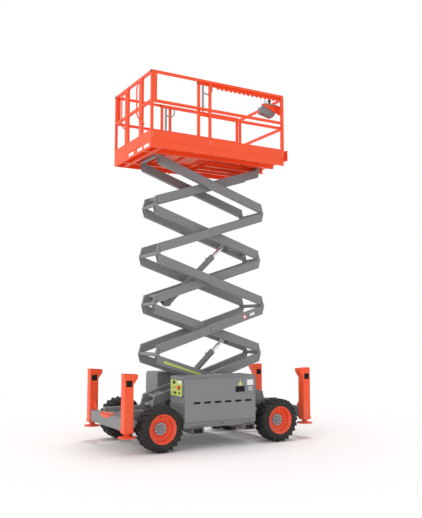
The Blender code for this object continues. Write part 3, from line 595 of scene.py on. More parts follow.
# ---- finishes of the frame ----------------------------------------------------------------
def make_materials():
    colours = setting("lift_colours")
    MATERIALS.update({
        "orange": painted_steel("orange_coat", colours.orange, 0.36, 0.28, 0.9),
        "platform orange": painted_steel("platform_coat", colours.orange, 0.38, 0.0),
        "grey": painted_steel("grey_coat", colours.grey, 0.42, 0.32, 0.9),
        "arm grey": painted_steel("arm_coat", colours.grey, 0.44, 0.0),
        "rubber": tyre_rubber("tyre_compound", colours.rubber, colours.dust),
        # black: real black mouldings, and also painted shade in the fork tube mouths and on the
        # extension nose
        "black": moulded_plastic("black_moulding_and_painted_shade", colours.black, 0.42),
        "pale grey": painted_steel("pale_grey_coat", (0.34, 0.34, 0.35), 0.46, 0.0),
        # dark: near-black that is painted shade in the door slots and the door opening, and the
        # real black of the jack labels
        "dark": moulded_plastic("painted_shade_and_label_black", (0.0006, 0.0006, 0.0006), 0.80),
        "red": moulded_plastic("red_moulding", colours.red, 0.24),
        "lime": printed_vinyl("lime_film", colours.lime),
        "white": printed_vinyl("white_film", colours.white),
        "amber": printed_vinyl("amber_film", colours.amber),
        "chrome": metal("hard_chrome", (0.86, 0.86, 0.88), 0.07, (0.3, 1.0, 1.0), 0.05),
        "zinc": metal("zinc_plate", (0.62, 0.62, 0.64), 0.30, (1.0, 1.0, 0.4), 0.15),
    })


NODE_FINISHES = (
    # part of a node's name, finish; the first that fits is used
    ("tie_rod", "zinc"), ("cylinder_rod", "chrome"), ("arm_", "arm grey"), ("tyre", "rubber"),
    ("cylinder_barrel", "arm grey"), ("jack", "orange"), ("rear_step", "orange"),
    ("rim", "orange"), ("panel", "lime"), ("block", "black"), ("control_box", "arm grey"),
    ("rail", "platform orange"), ("gate", "platform orange"), ("deck", "platform orange"),
)


class LIFT_OT_finishes(bpy.types.Operator):
    """Build the materials and give each node of the frame its finish"""
    bl_idname = "lift.finishes"
    bl_label = "Finishes"

    def execute(self, context):
        make_materials()
        for name, obj in frame["nodes"].items():
            finish = next((finish for part, finish in NODE_FINISHES if part in name), "grey")
            obj.data.materials.clear()
            obj.data.materials.append(MATERIALS[finish])
        return {"FINISHED"}


# ---- wheels -----------------------------------------------------------------------------
def wheel_places():
    for end, _ in ENDS:
        for side, sign in SIDES:
            centre = Vector(JOINTS[f"{end}_{side}_wheel_spin"]["pos_m"])
            yield f"{end}_{side}", sign, centre


def tyre_section(radius, half, rim):
    """Half of the casing's profile from the crown to the bead, as (radius, height)."""
    return [(radius, 0.0), (radius - 0.001, half - 0.075), (radius - 0.006, half - 0.040),
            (radius - 0.020, half - 0.014), (radius - 0.036, half - 0.004),
            (radius - 0.060, half), (rim + 0.030, half - 0.006), (rim + 0.014, half - 0.014),
            (rim + 0.008, half - 0.020), (rim + 0.001, half - 0.030)]


def tread_lug(casing, depth, half, sign):
    """One bar lug: from the crown out over the shoulder, swept back at an angle."""
    lug = Piece()
    sweep = 0.13
    sections = [
        # height across the tyre, top radius, bottom radius, width, turn round the tyre
        (0.004, casing + depth, casing - 0.004, 0.034, 0.0),
        (half - 0.080, casing + depth, casing - 0.004, 0.038, sweep * 0.5),
        (half - 0.034, casing + depth - 0.001, casing - 0.008, 0.046, sweep * 0.85),
        (half - 0.010, casing + depth - 0.009, casing - 0.018, 0.046, sweep),
        (half - 0.002, casing + depth - 0.024, casing - 0.030, 0.040, sweep),
    ]
    shape = bmesh.new()
    rings = []
    for height, top, low, width, turn in sections:
        ring = []
        for radius, spread in ((low, 0.5), (top, 0.42), (top, -0.42), (low, -0.5)):
            angle = turn + spread * width / radius
            ring.append(shape.verts.new((radius * math.sin(angle), sign * height,
                                         radius * math.cos(angle))))
        rings.append(ring)
    shape.faces.new(rings[0])
    shape.faces.new(rings[-1])
    for one, two in zip(rings, rings[1:]):
        for index in range(4):
            after = (index + 1) % 4
            shape.faces.new((one[index], one[after], two[after], two[index]))
    lug.take(shape, 0.003)
    return lug


class LIFT_OT_tyres(bpy.types.Operator):
    """Tyres with bar lugs that run over both shoulders"""
    bl_idname = "lift.tyres"
    bl_label = "Tyres"

    def execute(self, context):
        sizes = setting("lift_sizes")
        for name, sign, centre in wheel_places():
            low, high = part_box(f"{name}_tyre")
            radius = centre.z - CAD_BOX[0].z
            half = (high.y - low.y) / 2
            casing = radius - sizes.lug_depth
            section = tyre_section(casing, half, RIM_R)
            whole = section + [(r, -h) for r, h in reversed(section[1:])]
            tyre = Piece()
            tyre.turned(whole, centre, Y_AXIS, 96)
            step = 2 * math.pi / sizes.lugs
            for shoulder in (-1, 1):
                pattern = tread_lug(casing, sizes.lug_depth - 0.0005, half - 0.001, shoulder)
                start = Matrix.Translation(centre)
                if shoulder > 0:
                    start = start @ Matrix.Rotation(step / 2, 4, "Y")
                tyre.add(repeated(pattern, sizes.lugs, "rubber", turn=(0, step, 0),
                                  start=start))
            tyre.turned([(RIM_R + 0.062, half - 0.004), (RIM_R + 0.066, half - 0.0005),
                         (RIM_R + 0.058, half - 0.0005), (RIM_R + 0.056, half - 0.004)],
                        centre, Y_AXIS * sign, 96)
            tyre.done(f"{name}_tread", f"{name}_wheel", "rubber", [f"{name}_tyre"])
        return {"FINISHED"}


class LIFT_OT_rims(bpy.types.Operator):
    """Deep dished rims, hub flanges, wheel nuts and valves"""
    bl_idname = "lift.rims"
    bl_label = "Rims and hubs"

    def execute(self, context):
        for name, sign, centre in wheel_places():
            low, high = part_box(f"{name}_rim")
            half = (high.y - low.y) / 2
            outer = RIM_R
            out = Y_AXIS * sign
            body = f"{name}_wheel"
            rim = Piece()
            rim.turned([
                (outer, half), (outer - 0.004, half + 0.003), (outer - 0.012, half + 0.003),
                (outer - 0.017, half - 0.004), (outer - 0.019, half - 0.022),
                (outer - 0.030, half - 0.030), (outer - 0.033, half - 0.044),
                (outer - 0.034, 0.030), (outer - 0.040, 0.022), (outer - 0.058, 0.016),
                (0.118, 0.020), (0.104, 0.030), (0.100, 0.034), (0.0432, 0.034),
                (0.0432, -0.030), (outer - 0.014, -0.030), (outer - 0.014, -half),
                (outer, -half), (outer, -half + 0.006), (outer - 0.004, -half + 0.020),
                (outer - 0.004, half - 0.020), (outer, half - 0.006)], centre, out, 96)
            rim.done(f"{name}_wheel_rim", body, "orange", [f"{name}_rim"])
            hub = Piece()
            hub.turned([(0, 0.034), (0.094, 0.034), (0.094, 0.044), (0.090, 0.048),
                        (0.062, 0.050), (0.058, 0.053), (0.056, 0.066), (0.050, 0.071),
                        (0.022, 0.072), (0.018, 0.069), (0, 0.069)], centre, out, 64)
            hub.done(f"{name}_hub", body, "arm grey")
            nuts = Piece()
            add_ring(nuts, hex_bolt(0.0085, 0.008), 0.075, 9, centre + out * 0.0485, out)
            add_ring(nuts, hex_bolt(0.0045, 0.006, washer=False), 0.038, 6,
                     centre + out * 0.0705, out)
            nuts.done(f"{name}_wheel_nuts", body, "zinc")
            valve = Piece()
            foot = centre + Vector((0, sign * 0.021, outer - 0.050))
            valve.turned([(0, 0), (0.006, 0), (0.006, 0.008), (0.0035, 0.010),
                          (0.0035, 0.030), (0.0045, 0.031), (0.0045, 0.042), (0, 0.042)],
                         foot, out, 16)
            valve.done(f"{name}_valve", body, "black")
        return {"FINISHED"}


# ---- scissor stack ----------------------------------------------------------------------
def pin_cap(radius, depth):
    """A flanged pin end with a bolt in its middle, standing up from the origin."""
    cap = Piece()
    cap.turned([(0, 0), (radius, 0), (radius, depth * 0.55), (radius * 0.92, depth * 0.7),
                (radius * 0.62, depth * 0.72), (radius * 0.58, depth), (0, depth)],
               (0, 0, 0), Z_AXIS, 32)
    return cap


class LIFT_OT_pin_caps(bpy.types.Operator):
    """Flanged caps on the scissor pins, with their lock bolts"""
    bl_idname = "lift.pin_caps"
    bl_label = "Pin caps"

    def execute(self, context):
        sizes = setting("lift_sizes")
        for level in range(LEVELS):
            leans_right = bool(level % 2)
            for kind, upper_right in (("outer", leans_right), ("inner", not leans_right)):
                if kind == "inner" and level == LEVELS - 1:
                    upper = None
                else:
                    x = MID_PIN.x + (HALF_W if upper_right else -HALF_W)
                    upper = Vector((x, 0, BASE_PIN.z + (level + 1) * LEVEL_H))
                caps = Piece()
                bolts = Piece()
                spots = []
                if kind == "outer":
                    spots.append((upper, OUTER_ARM_Y + 0.0382))
                elif upper:
                    spots.append((upper, INNER_ARM_Y + 0.0378))
                if kind == "inner":
                    spots.append((MID_PIN + Z_AXIS * (level * LEVEL_H), 0.3505))
                for spot, reach in spots:
                    for sign in (-1, 1):
                        out = Y_AXIS * sign
                        add_bolts(caps, pin_cap(0.027, 0.007), spot + out * reach, out)
                        add_bolts(bolts, hex_bolt(sizes.bolt, 0.005, washer=False),
                                  spot + out * (reach + 0.006), out)
                caps.done(f"{kind}_arm_{level + 1}_pin_caps", f"{kind}_arm_{level + 1}",
                          "arm grey")
                bolts.done(f"{kind}_arm_{level + 1}_lock_bolts", f"{kind}_arm_{level + 1}",
                           "zinc")
        return {"FINISHED"}


class LIFT_OT_arm_marks(bpy.types.Operator):
    """The lime stripe on the lowest outer arm, and the blank plates above it"""
    bl_idname = "lift.arm_marks"
    bl_label = "Arm marks"

    def execute(self, context):
        face = OUTER_ARM_Y + 0.038
        # (level, name, finish, x along the arm, half height, centre above the arm's line)
        for level, name, finish, x, half, lift in (
                (0, "stripe", "lime", (0.010, 0.900), 0.017, -0.006),
                (1, "label", "white", (0.735, 0.830), 0.020, 0.0),
        ):
            place = arm_frame(level, bool(level % 2))
            sign = 1 if level == 0 else -1
            mark = Piece()
            mark.prism(rounded_outline(x, (lift - half, lift + half), 0.006), "Y",
                       sign * face, sign * (face + PROUD), place=place)
            mark.done(f"arm_{name}", f"outer_arm_{level + 1}", finish)
        place = arm_frame(1, True)
        spot = place @ Vector((0.630, -face, 0.0))
        ring = Piece()
        ring.turned([(0.036, 0), (0.036, PROUD), (0.026, PROUD), (0.026, 0)], spot, -Y_AXIS)
        ring.done("arm_disc_ring", "outer_arm_2", "red")
        disc = Piece()
        disc.turned([(0, 0), (0.0255, 0), (0.0255, PROUD * 0.8), (0, PROUD * 0.8)], spot,
                    -Y_AXIS)
        disc.done("arm_disc", "outer_arm_2", "white")
        return {"FINISHED"}


class LIFT_OT_cylinders(bpy.types.Operator):
    """Lift cylinders: barrel with its gland and ports, and the polished rod"""
    bl_idname = "lift.cylinders"
    bl_label = "Lift cylinders"

    def execute(self, context):
        for name in ("lower_cylinder", "upper_cylinder"):
            foot = Vector(JOINTS[f"{name}_tilt"]["pos_m"])
            aim = Vector(JOINTS[f"{name}_stroke"]["axis"]).normalized()
            length = 1.150
            rest = 1.5299
            eye = foot + aim * rest
            barrel = Piece()
            barrel.turned([(0, 0.028), (0.044, 0.032), (0.050, 0.042), (0.050, 0.100),
                           (0.048, 0.104), (0.048, length - 0.075), (0.050, length - 0.070),
                           (0.050, length - 0.004), (0.047, length), (0.0325, length),
                           (0.0325, 0.090), (0, 0.090)], foot, aim, 64)
            barrel.turned([(0.0206, -0.045), (0.040, -0.045), (0.040, 0.045),
                           (0.0206, 0.045)], foot, Y_AXIS, 48)
            side_way = aim.cross(Y_AXIS).normalized()
            if side_way.z < 0:
                side_way = -side_way
            for along in (0.130, length - 0.110):
                barrel.turned([(0, 0.040), (0.016, 0.040), (0.016, 0.062), (0.011, 0.066),
                               (0, 0.066)], foot + aim * along, side_way, 24)
            barrel.done(f"{name}_tube", f"{name}_barrel", "arm grey",
                        [f"{name}_barrel"])
            gland = Piece()
            add_ring(gland, hex_bolt(0.005, 0.005, washer=False), 0.0405, 8,
                     foot + aim * (length - 0.0005), aim)
            gland.turned([(0.0316, -0.002), (0.036, -0.002), (0.036, 0.006),
                          (0.0316, 0.006)], foot + aim * length, aim, 48)
            gland.done(f"{name}_gland", f"{name}_barrel", "zinc")
            rod = Piece()
            rod.turned([(0, -1.112), (0.0308, -1.112), (0.0308, -0.030), (0, -0.030)], eye,
                       aim, 64)
            rod.turned([(0, -0.045), (0.036, -0.045), (0.036, 0.045), (0, 0.045)], eye,
                       Y_AXIS, 48)
            rod.done(f"{name}_polished_rod", f"{name}_rod", "chrome", [f"{name}_rod"])
        return {"FINISHED"}


# ---- cabinets ---------------------------------------------------------------------------
class LIFT_OT_cabinet_fittings(bpy.types.Operator):
    """Cooling slots, openings, blank plates and latches on the cabinet doors"""
    bl_idname = "lift.cabinet_fittings"
    bl_label = "Cabinet fittings"

    def execute(self, context):
        sizes = setting("lift_sizes")
        for side, sign in SIDES:
            low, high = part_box(f"{side}_door")
            right = high.x - 0.042
            face = sign * max(abs(low.y), abs(high.y))
            body = f"{side}_door"

            def on_face(piece, outline, depth=PROUD, bevel=0.0):
                piece.prism(outline, "Y", face - sign * 0.001, face + sign * depth, bevel)

            slot_z = low.z + 0.286
            last = right - 0.053
            first = last - (sizes.slots - 1) * sizes.slot_pitch - sizes.slot_length
            lips = Piece()
            lip = Piece()
            lip.prism(rounded_outline((-0.005, sizes.slot_length + 0.005), (-0.020, 0.020),
                                      0.018), "Y", 0.0, sign * 0.0022, 0.0006)
            start = Matrix.Translation((first, face - sign * 0.0004, slot_z))
            lips.add(repeated(lip, sizes.slots, "grey", shift=(sizes.slot_pitch, 0, 0),
                              start=start))
            lips.done(f"{side}_slot_lips", body, "grey")
            # Painted shade: near-black slot insets stand for the dark inside the cabinet behind
            # the cooling slots.
            dark = Piece()
            hole = Piece()
            hole.prism(rounded_outline((0, sizes.slot_length), (-0.015, 0.015), 0.0142),
                       "Y", 0.0, sign * 0.0034)
            dark.add(repeated(hole, sizes.slots, "dark", shift=(sizes.slot_pitch, 0, 0),
                              start=start))
            # Painted shade: a near-black inset stands for the dark inside the door opening.
            on_face(dark, rounded_outline((right - 0.339, right - 0.173),
                                          (low.z + 0.416, low.z + 0.500), 0.008), 0.0034)
            dark.done(f"{side}_slots", body, "dark")
            frame_ring = Piece()
            on_face(frame_ring, rounded_outline((right - 0.346, right - 0.166),
                                                (low.z + 0.408, low.z + 0.508), 0.012),
                    0.0024, 0.0006)
            frame_ring.done(f"{side}_window_frame", body, "grey")
            plates = Piece()
            on_face(plates, rounded_outline((right - 0.128, right - 0.018),
                                            (low.z + 0.512, low.z + 0.594), 0.006))
            plates.turned([(0.030, 0.0), (0.030, PROUD + 0.001), (0.019, PROUD + 0.001),
                           (0.019, 0.0)],
                          (right - 0.069, face - sign * 0.001, low.z + 0.459),
                          Y_AXIS * sign)
            plates.done(f"{side}_door_plates", body, "white")
            mark = Piece()
            peak = right - 0.250
            on_face(mark, [(peak - 0.040, low.z + 0.515), (peak + 0.040, low.z + 0.515),
                           (peak, low.z + 0.590)])
            mark.done(f"{side}_door_mark", body, "amber")
            cabinet_low, cabinet_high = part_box(f"{side}_cabinet")
            hem = Piece()
            hem.box((cabinet_low.x + 0.012, cabinet_high.x - 0.012),
                    (sign * 0.408, sign * 0.790), (cabinet_high.z - 0.001,
                                                   cabinet_high.z + 0.004), 0.0015)
            hem.done(f"{side}_cabinet_lid", "chassis", "grey")
            lock = Piece()
            chamfer_spot = Vector((-0.077, sign * 0.8235, 0.356))
            lock.turned([(0, -0.004), (0.011, -0.004), (0.011, 0.004), (0, 0.006)],
                        chamfer_spot, Vector((0, sign, -0.62)), 24)
            lock.done(f"{side}_tray_lock", "chassis", "black")
            lid_bolts = Piece()
            gap = (cabinet_high.x - cabinet_low.x - 0.120) / 5
            add_bolts(lid_bolts, hex_bolt(sizes.bolt * 0.7, 0.004),
                      (cabinet_low.x + 0.060, sign * 0.440, cabinet_high.z + 0.004), Z_AXIS,
                      6, (gap, 0, 0))
            lid_bolts.done(f"{side}_lid_bolts", "chassis", "zinc")
        return {"FINISHED"}


class LIFT_OT_ground_panel(bpy.types.Operator):
    """Knobs, stop button and blank fields of the ground control panel"""
    bl_idname = "lift.ground_panel"
    bl_label = "Ground panel"

    def execute(self, context):
        low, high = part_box("ground_control_panel")
        face = low.x
        black = Piece()
        for y, z, radius, depth in (
                (-0.553, 0.965, 0.026, 0.022), (-0.585, 0.815, 0.021, 0.020),
                (-0.715, 0.815, 0.016, 0.012), (-0.520, 0.893, 0.008, 0.012),
                (-0.578, 0.893, 0.008, 0.012), (-0.500, 0.815, 0.008, 0.012)):
            black.turned([(0, 0), (radius, 0), (radius, depth * 0.3),
                          (radius * 0.8, depth * 0.4), (radius * 0.72, depth),
                          (radius * 0.5, depth + 0.002), (0, depth + 0.002)],
                         (face + 0.001, y, z), -X_AXIS, 32)
        black.done("panel_knobs", "chassis", "black")
        stop = Piece()
        stop.turned([(0, 0), (0.014, 0), (0.014, 0.012), (0.030, 0.014), (0.031, 0.022),
                     (0.024, 0.029), (0.010, 0.032), (0, 0.032)], (face, -0.712, 0.896),
                    -X_AXIS, 48)
        stop.done("panel_stop", "chassis", "red")
        fields = Piece()
        fields.prism(rounded_outline((-0.780, -0.660), (0.955, 0.990), 0.004), "X",
                     face + 0.001, face - 0.001)
        fields.done("panel_fields", "chassis", "white")
        rim = Piece()
        bezel = ((low.y - 0.010, high.y + 0.010), (low.z - 0.010, high.z + 0.010))
        for y, z in ((bezel[0], (bezel[1][0], low.z)), (bezel[0], (high.z, bezel[1][1])),
                     ((bezel[0][0], low.y), bezel[1]), ((high.y, bezel[0][1]), bezel[1])):
            rim.box((face - 0.004, high.x), y, z, 0.002)
        cabinet_low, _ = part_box("near_cabinet")
        rim.box((cabinet_low.x - 0.018, cabinet_low.x + 0.002), (-0.842, -0.405),
                (0.640, 0.652), 0.003)
        rim.box((cabinet_low.x - 0.018, cabinet_low.x - 0.012), (-0.842, -0.405),
                (0.616, 0.650), 0.002)
        rim.done("panel_bezel", "chassis", "grey")
        bolts = Piece()
        for y in (-0.820, -0.430):
            add_bolts(bolts, hex_bolt(0.006, 0.004), (cabinet_low.x, y, 0.700), -X_AXIS, 3,
                      (0, 0, 0.120))
        bolts.done("cabinet_end_bolts", "chassis", "zinc")
        return {"FINISHED"}


# ---- chassis ----------------------------------------------------------------------------
class LIFT_OT_chassis_fittings(bpy.types.Operator):
    """Bolts and plates on the beams, the rear step, painted shade in the tube mouths, and hub
    motors
    """
    bl_idname = "lift.chassis_fittings"
    bl_label = "Chassis fittings"

    def execute(self, context):
        sizes = setting("lift_sizes")
        beam_z = 0.405
        low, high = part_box("rear_step")
        step = Piece()
        beam_top = high.z - 0.014
        middle = (low.y + high.y) / 2
        half = (high.y - low.y) / 2
        crown = [(middle + half * math.cos(a), beam_top + 0.010 + 0.008 * math.sin(a))
                 for a in (math.pi * i / 8 for i in range(9))]
        step.prism([(low.y, beam_top), (high.y, beam_top), *crown], "X", low.x, high.x, 0.002)
        hang = [(middle + half * math.cos(a), beam_top - 0.004 + 0.048 * math.sin(a))
                for a in (math.pi * (1 + i / 12) for i in range(13))]
        step.prism([(low.y, high.z - 0.003), *hang, (high.y, high.z - 0.003)], "X", low.x,
                   low.x + 0.008, 0.0015)
        step.done("rear_step_pad", "chassis", "orange", ["rear_step"])
        bolts = Piece()
        for end, sign in ENDS:
            for y in (-0.560, 0.560):
                for z in (beam_z - 0.045, beam_z + 0.045):
                    add_bolts(bolts, hex_bolt(sizes.bolt, 0.007),
                              (sign * BEAM_FACE_X, y, z), X_AXIS * sign)
        for side, sign in SIDES:
            for x in (-1.330, -0.760, 0.780, 1.190):
                add_bolts(bolts, hex_bolt(sizes.bolt, 0.007), (x, sign * 0.360, 0.485),
                          Y_AXIS * sign, 2, (0.045, 0, 0))
        bolts.done("chassis_bolts", "chassis", "zinc")
        gussets = Piece()
        for end, end_sign in ENDS:
            for side, sign in SIDES:
                face = end_sign * 1.552
                gussets.prism([(sign * 0.500, 0.492), (sign * 0.632, 0.492),
                               (sign * 0.632, 0.640), (sign * 0.606, 0.640)], "X",
                              face - 0.007, face + 0.007, 0.002)
        gussets.done("jack_gussets", "chassis", "orange")
        # Painted shade: black blocks inside the fork tubes stand for the dark in their mouths.
        dark = Piece()
        for name in ("rear_fork_tube", "front_fork_tube"):
            low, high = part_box(name)
            dark.box((low.x + 0.0065, high.x - 0.0065), (low.y + 0.060, high.y - 0.060),
                     (low.z + 0.0065, high.z - 0.0065))
        dark.done("fork_tube_darkness", "chassis", "black")
        pans = Piece()
        for side, sign in SIDES:
            pans.turned([(0, -0.030), (0.070, -0.030), (0.082, -0.020), (0.082, 0.040),
                         (0, 0.040)], (-0.020, sign * 0.560, 0.268), Z_AXIS, 40)
        pans.done("sump_pans", "chassis", "black")
        for end, _ in ENDS:
            for side, sign in SIDES:
                centre = Vector(JOINTS[f"{end}_{side}_wheel_spin"]["pos_m"])
                body = "chassis" if end == "rear" else f"{side}_knuckle"
                motor = Piece()
                out = Y_AXIS * sign
                motor.turned([(0, -0.190), (0.070, -0.190), (0.074, -0.184),
                              (0.074, -0.130), (0.1002, -0.124), (0.1035, -0.118),
                              (0.1035, -0.060), (0.098, -0.050), (0, -0.050)], centre, out,
                             48)
                motor.done(f"{end}_{side}_hub_motor", body, "grey")
                ring = Piece()
                add_ring(ring, hex_bolt(0.007, 0.006), 0.088, 10, centre - out * 0.1225,
                         -out)
                ring.done(f"{end}_{side}_motor_bolts", body, "zinc")
        return {"FINISHED"}


class LIFT_OT_jack_fittings(bpy.types.Operator):
    """Jack labels, wear pad bolts, cap plates and turned feet"""
    bl_idname = "lift.jack_fittings"
    bl_label = "Jack fittings"

    def execute(self, context):
        sizes = setting("lift_sizes")
        for end, end_sign in ENDS:
            for side, sign in SIDES:
                name = f"{end}_{side}_jack"
                x = end_sign * JACK.x
                y = sign * JACK.y
                half = JACK.z
                spot = Vector((x, y, 0.0))
                label = Piece()
                for way in (-1, 1):
                    face = y + way * half
                    label.prism(rounded_outline((x - 0.046, x + 0.046), (0.940, 1.030), 0.006),
                                "Y", face - way * 0.001, face + way * PROUD)
                label.done(f"{name}_label", "chassis", "dark")
                collar = Piece()
                outside, inside = half + 0.006, half - 0.001
                for way in (-1, 1):
                    collar.box((x + way * inside, x + way * outside),
                               (y - outside, y + outside), (0.302, 0.345), 0.002)
                    collar.box((x - half, x + half), (y + way * inside, y + way * outside),
                               (0.302, 0.345), 0.002)
                cap_x = (x - end_sign * 0.130, x + end_sign * 0.070)
                collar.prism([(cap_x[0], 1.1075), (cap_x[1], 1.1215), (cap_x[1], 1.1265),
                              (cap_x[0], 1.1125)], "Y", y - half - 0.003, y + half + 0.003,
                             0.0015)
                collar.done(f"{name}_collar", "chassis", "orange")
                bolts = Piece()
                for way in (-1, 1):
                    add_bolts(bolts, hex_bolt(sizes.bolt * 0.8, 0.005),
                              (x - 0.035, y + way * (half + 0.006), 0.3235), Y_AXIS * way, 2,
                              (0.070, 0, 0), "orange")
                bolts.done(f"{name}_bolts", "chassis", "orange")
                foot = Piece()
                foot.turned([(0, 0.2302), (0.120, 0.2302), (0.127, 0.234), (0.127, 0.243),
                             (0.121, 0.2475), (0.080, 0.250), (0.052, 0.257), (0.040, 0.268),
                             (0.034, 0.280), (0.032, 0.296), (0, 0.296)], spot, Z_AXIS, 72)
                foot.turned([(0.0335, 0.2800), (0.046, 0.2805), (0.046, 0.2915),
                             (0.0335, 0.2920)], spot, Z_AXIS, 48)
                foot.done(f"{name}_foot", name, "orange")
        return {"FINISHED"}


# ---- platform ---------------------------------------------------------------------------
class LIFT_OT_toe_boards(bpy.types.Operator):
    """Folded toe boards, post feet, blank placards and painted shade on the front nose"""
    bl_idname = "lift.toe_boards"
    bl_label = "Toe boards"

    def execute(self, context):
        low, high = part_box("platform_deck")
        crease = low.z + 0.133
        top = high.z - 0.001
        boards = Piece()
        for _, sign in SIDES:
            face = sign * max(abs(low.y), abs(high.y))
            for x in ((low.x + 0.004, -0.2565), (-0.2525, high.x - 0.004)):
                boards.box(x, (face - sign * 0.001, face + sign * 0.0028), (crease, top),
                           0.0012)
            boards.prism([(face - sign * 0.002, crease - 0.010), (face - sign * 0.002,
                          crease + 0.002), (face + sign * 0.0055, crease + 0.002),
                          (face + sign * 0.0055, crease - 0.004)], "X", low.x + 0.004,
                         high.x - 0.004)
            for x in ((-0.240, -0.202), (high.x - 0.040, high.x - 0.002)):
                boards.box(x, (face - sign * 0.001, face + sign * 0.0055),
                           (low.z + 0.012, top + 0.004), 0.0012)
        boards.done("toe_board_folds", "platform", "platform orange")
        placards = Piece()
        for y in ((-0.660, -0.470), (-0.400, -0.230), (-0.080, 0.110)):
            placards.prism(rounded_outline(y, (4.472, 4.520), 0.005), "X", low.x + 0.001,
                           low.x - PROUD)
        placards.done("rear_placards", "platform", "white")
        # Painted shade: a black plate on the extension's nose face stands for that face in
        # shadow.
        nose_low, nose_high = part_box("extension_deck")
        nose = Piece()
        nose.box((nose_high.x - 0.001, nose_high.x + 0.004), (-0.690, 0.690),
                 (nose_low.z + 0.030, nose_high.z - 0.016), 0.002)
        nose.done("extension_bumper", "extension", "black")
        return {"FINISHED"}


class LIFT_OT_floor_tread(bpy.types.Operator):
    """Raised bars on both floors"""
    bl_idname = "lift.floor_tread"
    bl_label = "Floor tread"

    def execute(self, context):
        pitch = setting("lift_sizes").tread_pitch
        deck_low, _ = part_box("platform_deck")
        front_low, front_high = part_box("extension_deck")
        # (name, body, x limits, half width, floor height)
        for name, body, x, half, z in (
                ("main_floor_tread", "platform", (deck_low.x + 0.060, front_low.x - 0.020),
                 0.660, 4.537),
                ("extension_floor_tread", "extension", (front_low.x + 0.030,
                 front_high.x - 0.050), 0.630, 4.5473)):
            bar = Piece()
            outline = [(-0.011, -0.0025), (0.0, -0.004), (0.011, -0.0025), (0.011, 0.0025),
                       (0.0, 0.004), (-0.011, 0.0025)]
            for turn, shift in ((45, 0.0), (-45, pitch / 2)):
                bar.prism(outline, "Z", -0.0002, 0.0014, place=Matrix.Translation(
                    (shift, 0, 0)) @ Matrix.Rotation(math.radians(turn), 4, "Z"))
            across = int(2 * half / (pitch / 2))
            along = int((x[1] - x[0]) / pitch)
            row = Piece()
            row.add(repeated(bar, across, "platform orange", shift=(0, pitch / 2, 0)))
            tread = Piece()
            tread.add(repeated(row, along, "platform orange", shift=(pitch, 0, 0),
                               start=Matrix.Translation((x[0], -half + 0.01, z))))
            tread.done(name, body, "platform orange")
        return {"FINISHED"}


class LIFT_OT_rail_fittings(bpy.types.Operator):
    """Tube caps, racks, hooks, latch knobs, post bolts and the gate grip"""
    bl_idname = "lift.rail_fittings"
    bl_label = "Rail fittings"

    def execute(self, context):
        sizes = setting("lift_sizes")
        deck_low, deck_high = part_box("platform_deck")
        rail_low, rail_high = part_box("extension_rail")
        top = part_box("near_rail")[1].z
        edge = deck_high.y
        caps = Piece()
        knobs = Piece()
        for side, sign in SIDES:
            outer = (sign * (edge - TUBE + 0.001), sign * (edge - 0.001))
            caps.box((deck_low.x - 0.004, deck_low.x + 0.006), outer,
                     (top - TUBE - 0.001, top + 0.0005), 0.002)
            caps.box((deck_high.x - 0.002, deck_high.x + 0.005), outer,
                     (top - TUBE + 0.001, top - 0.001), 0.002)
            for z in (4.930, 4.790):
                knobs.turned([(0, 0), (0.006, 0), (0.006, 0.012), (0.011, 0.014),
                              (0.011, 0.024), (0, 0.026)],
                             (deck_high.x - 0.019, sign * (edge - TUBE), z),
                             Vector((0, -sign, 0)), 20)
        for y in (-0.308 - 0.030, 0.235 + 0.030):
            knobs.turned([(0, 0), (0.007, 0), (0.007, 0.010), (0.013, 0.012),
                          (0.013, 0.022), (0, 0.024)], (deck_low.x + TUBE, y, 4.900),
                         X_AXIS, 20)
        caps.done("rail_end_caps", "platform", "black")
        knobs.done("rail_latch_knobs", "platform", "black")
        hooks = Piece()
        racks = Piece()
        black = Piece()
        inner = 0.6806
        for side, sign in SIDES:
            centre = sign * (inner - TUBE / 2)
            black.box((rail_low.x - 0.005, rail_low.x + 0.004),
                      (centre - 0.018, centre + 0.018), (rail_high.z - TUBE, rail_high.z),
                      0.002)
            bottom = rail_high.z - TUBE
            start_x = -0.070
            count = 14
            length = sizes.tooth_pitch
            tooth = Piece()
            notch = [(0.0, 0.002), (0.0, -0.030), (length * 0.36, -0.030)]
            notch += arc((length * 0.66, -0.030), length * 0.28, 180, 0, 8)
            notch += [(length, -0.030), (length, 0.002)]
            tooth.prism(notch, "Y", centre - 0.006, centre + 0.006)
            if side == "near":
                racks.add(repeated(tooth, count, "platform orange", shift=(length, 0, 0),
                                   start=Matrix.Translation((start_x, 0, bottom))))
            pole_x = -0.322
            pole_y = centre
            hooks.tube([(pole_x, pole_y, 5.150), (pole_x, pole_y, bottom + 0.001)], 0.0175, 16)
            path = [(pole_x, pole_y, 5.452), (pole_x + 0.040, pole_y, 5.440)]
            path += [(x, pole_y, z) for x, z in
                     arc((pole_x + 0.075, 5.520), 0.088, 270, 360, 8)]
            path += [(pole_x + 0.163, pole_y, bottom + 0.001)]
            hooks.tube(path, 0.011, 12)
        racks.done("extension_racks", "extension", "platform orange")
        hooks.done("extension_hooks", "extension", "pale grey")
        black.done("extension_end_caps", "extension", "black")
        bolts = Piece()
        for side, sign in SIDES:
            face = sign * edge
            for x in (-1.219, -0.221, 1.158):
                add_bolts(bolts, hex_bolt(sizes.bolt * 0.62, 0.004),
                          (x, face + sign * 0.0055, 4.620), Y_AXIS * sign, 2, (0, 0, 0.040))
        add_bolts(bolts, hex_bolt(sizes.bolt * 0.62, 0.004), (deck_low.x, -0.280, 4.640),
                  -X_AXIS, 2, (0, 0.485, 0))
        bolts.done("post_bolts", "platform", "zinc")
        grip = Piece()
        gate_low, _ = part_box("entry_gate")
        grip.tube([(gate_low.x + 0.036, -0.250, 5.300), (gate_low.x + 0.070, -0.250, 5.310),
                   (gate_low.x + 0.070, -0.250, 5.410), (gate_low.x + 0.036, -0.250, 5.420)],
                  0.007, 12)
        grip.done("gate_grip", "entry_gate", "black")
        return {"FINISHED"}


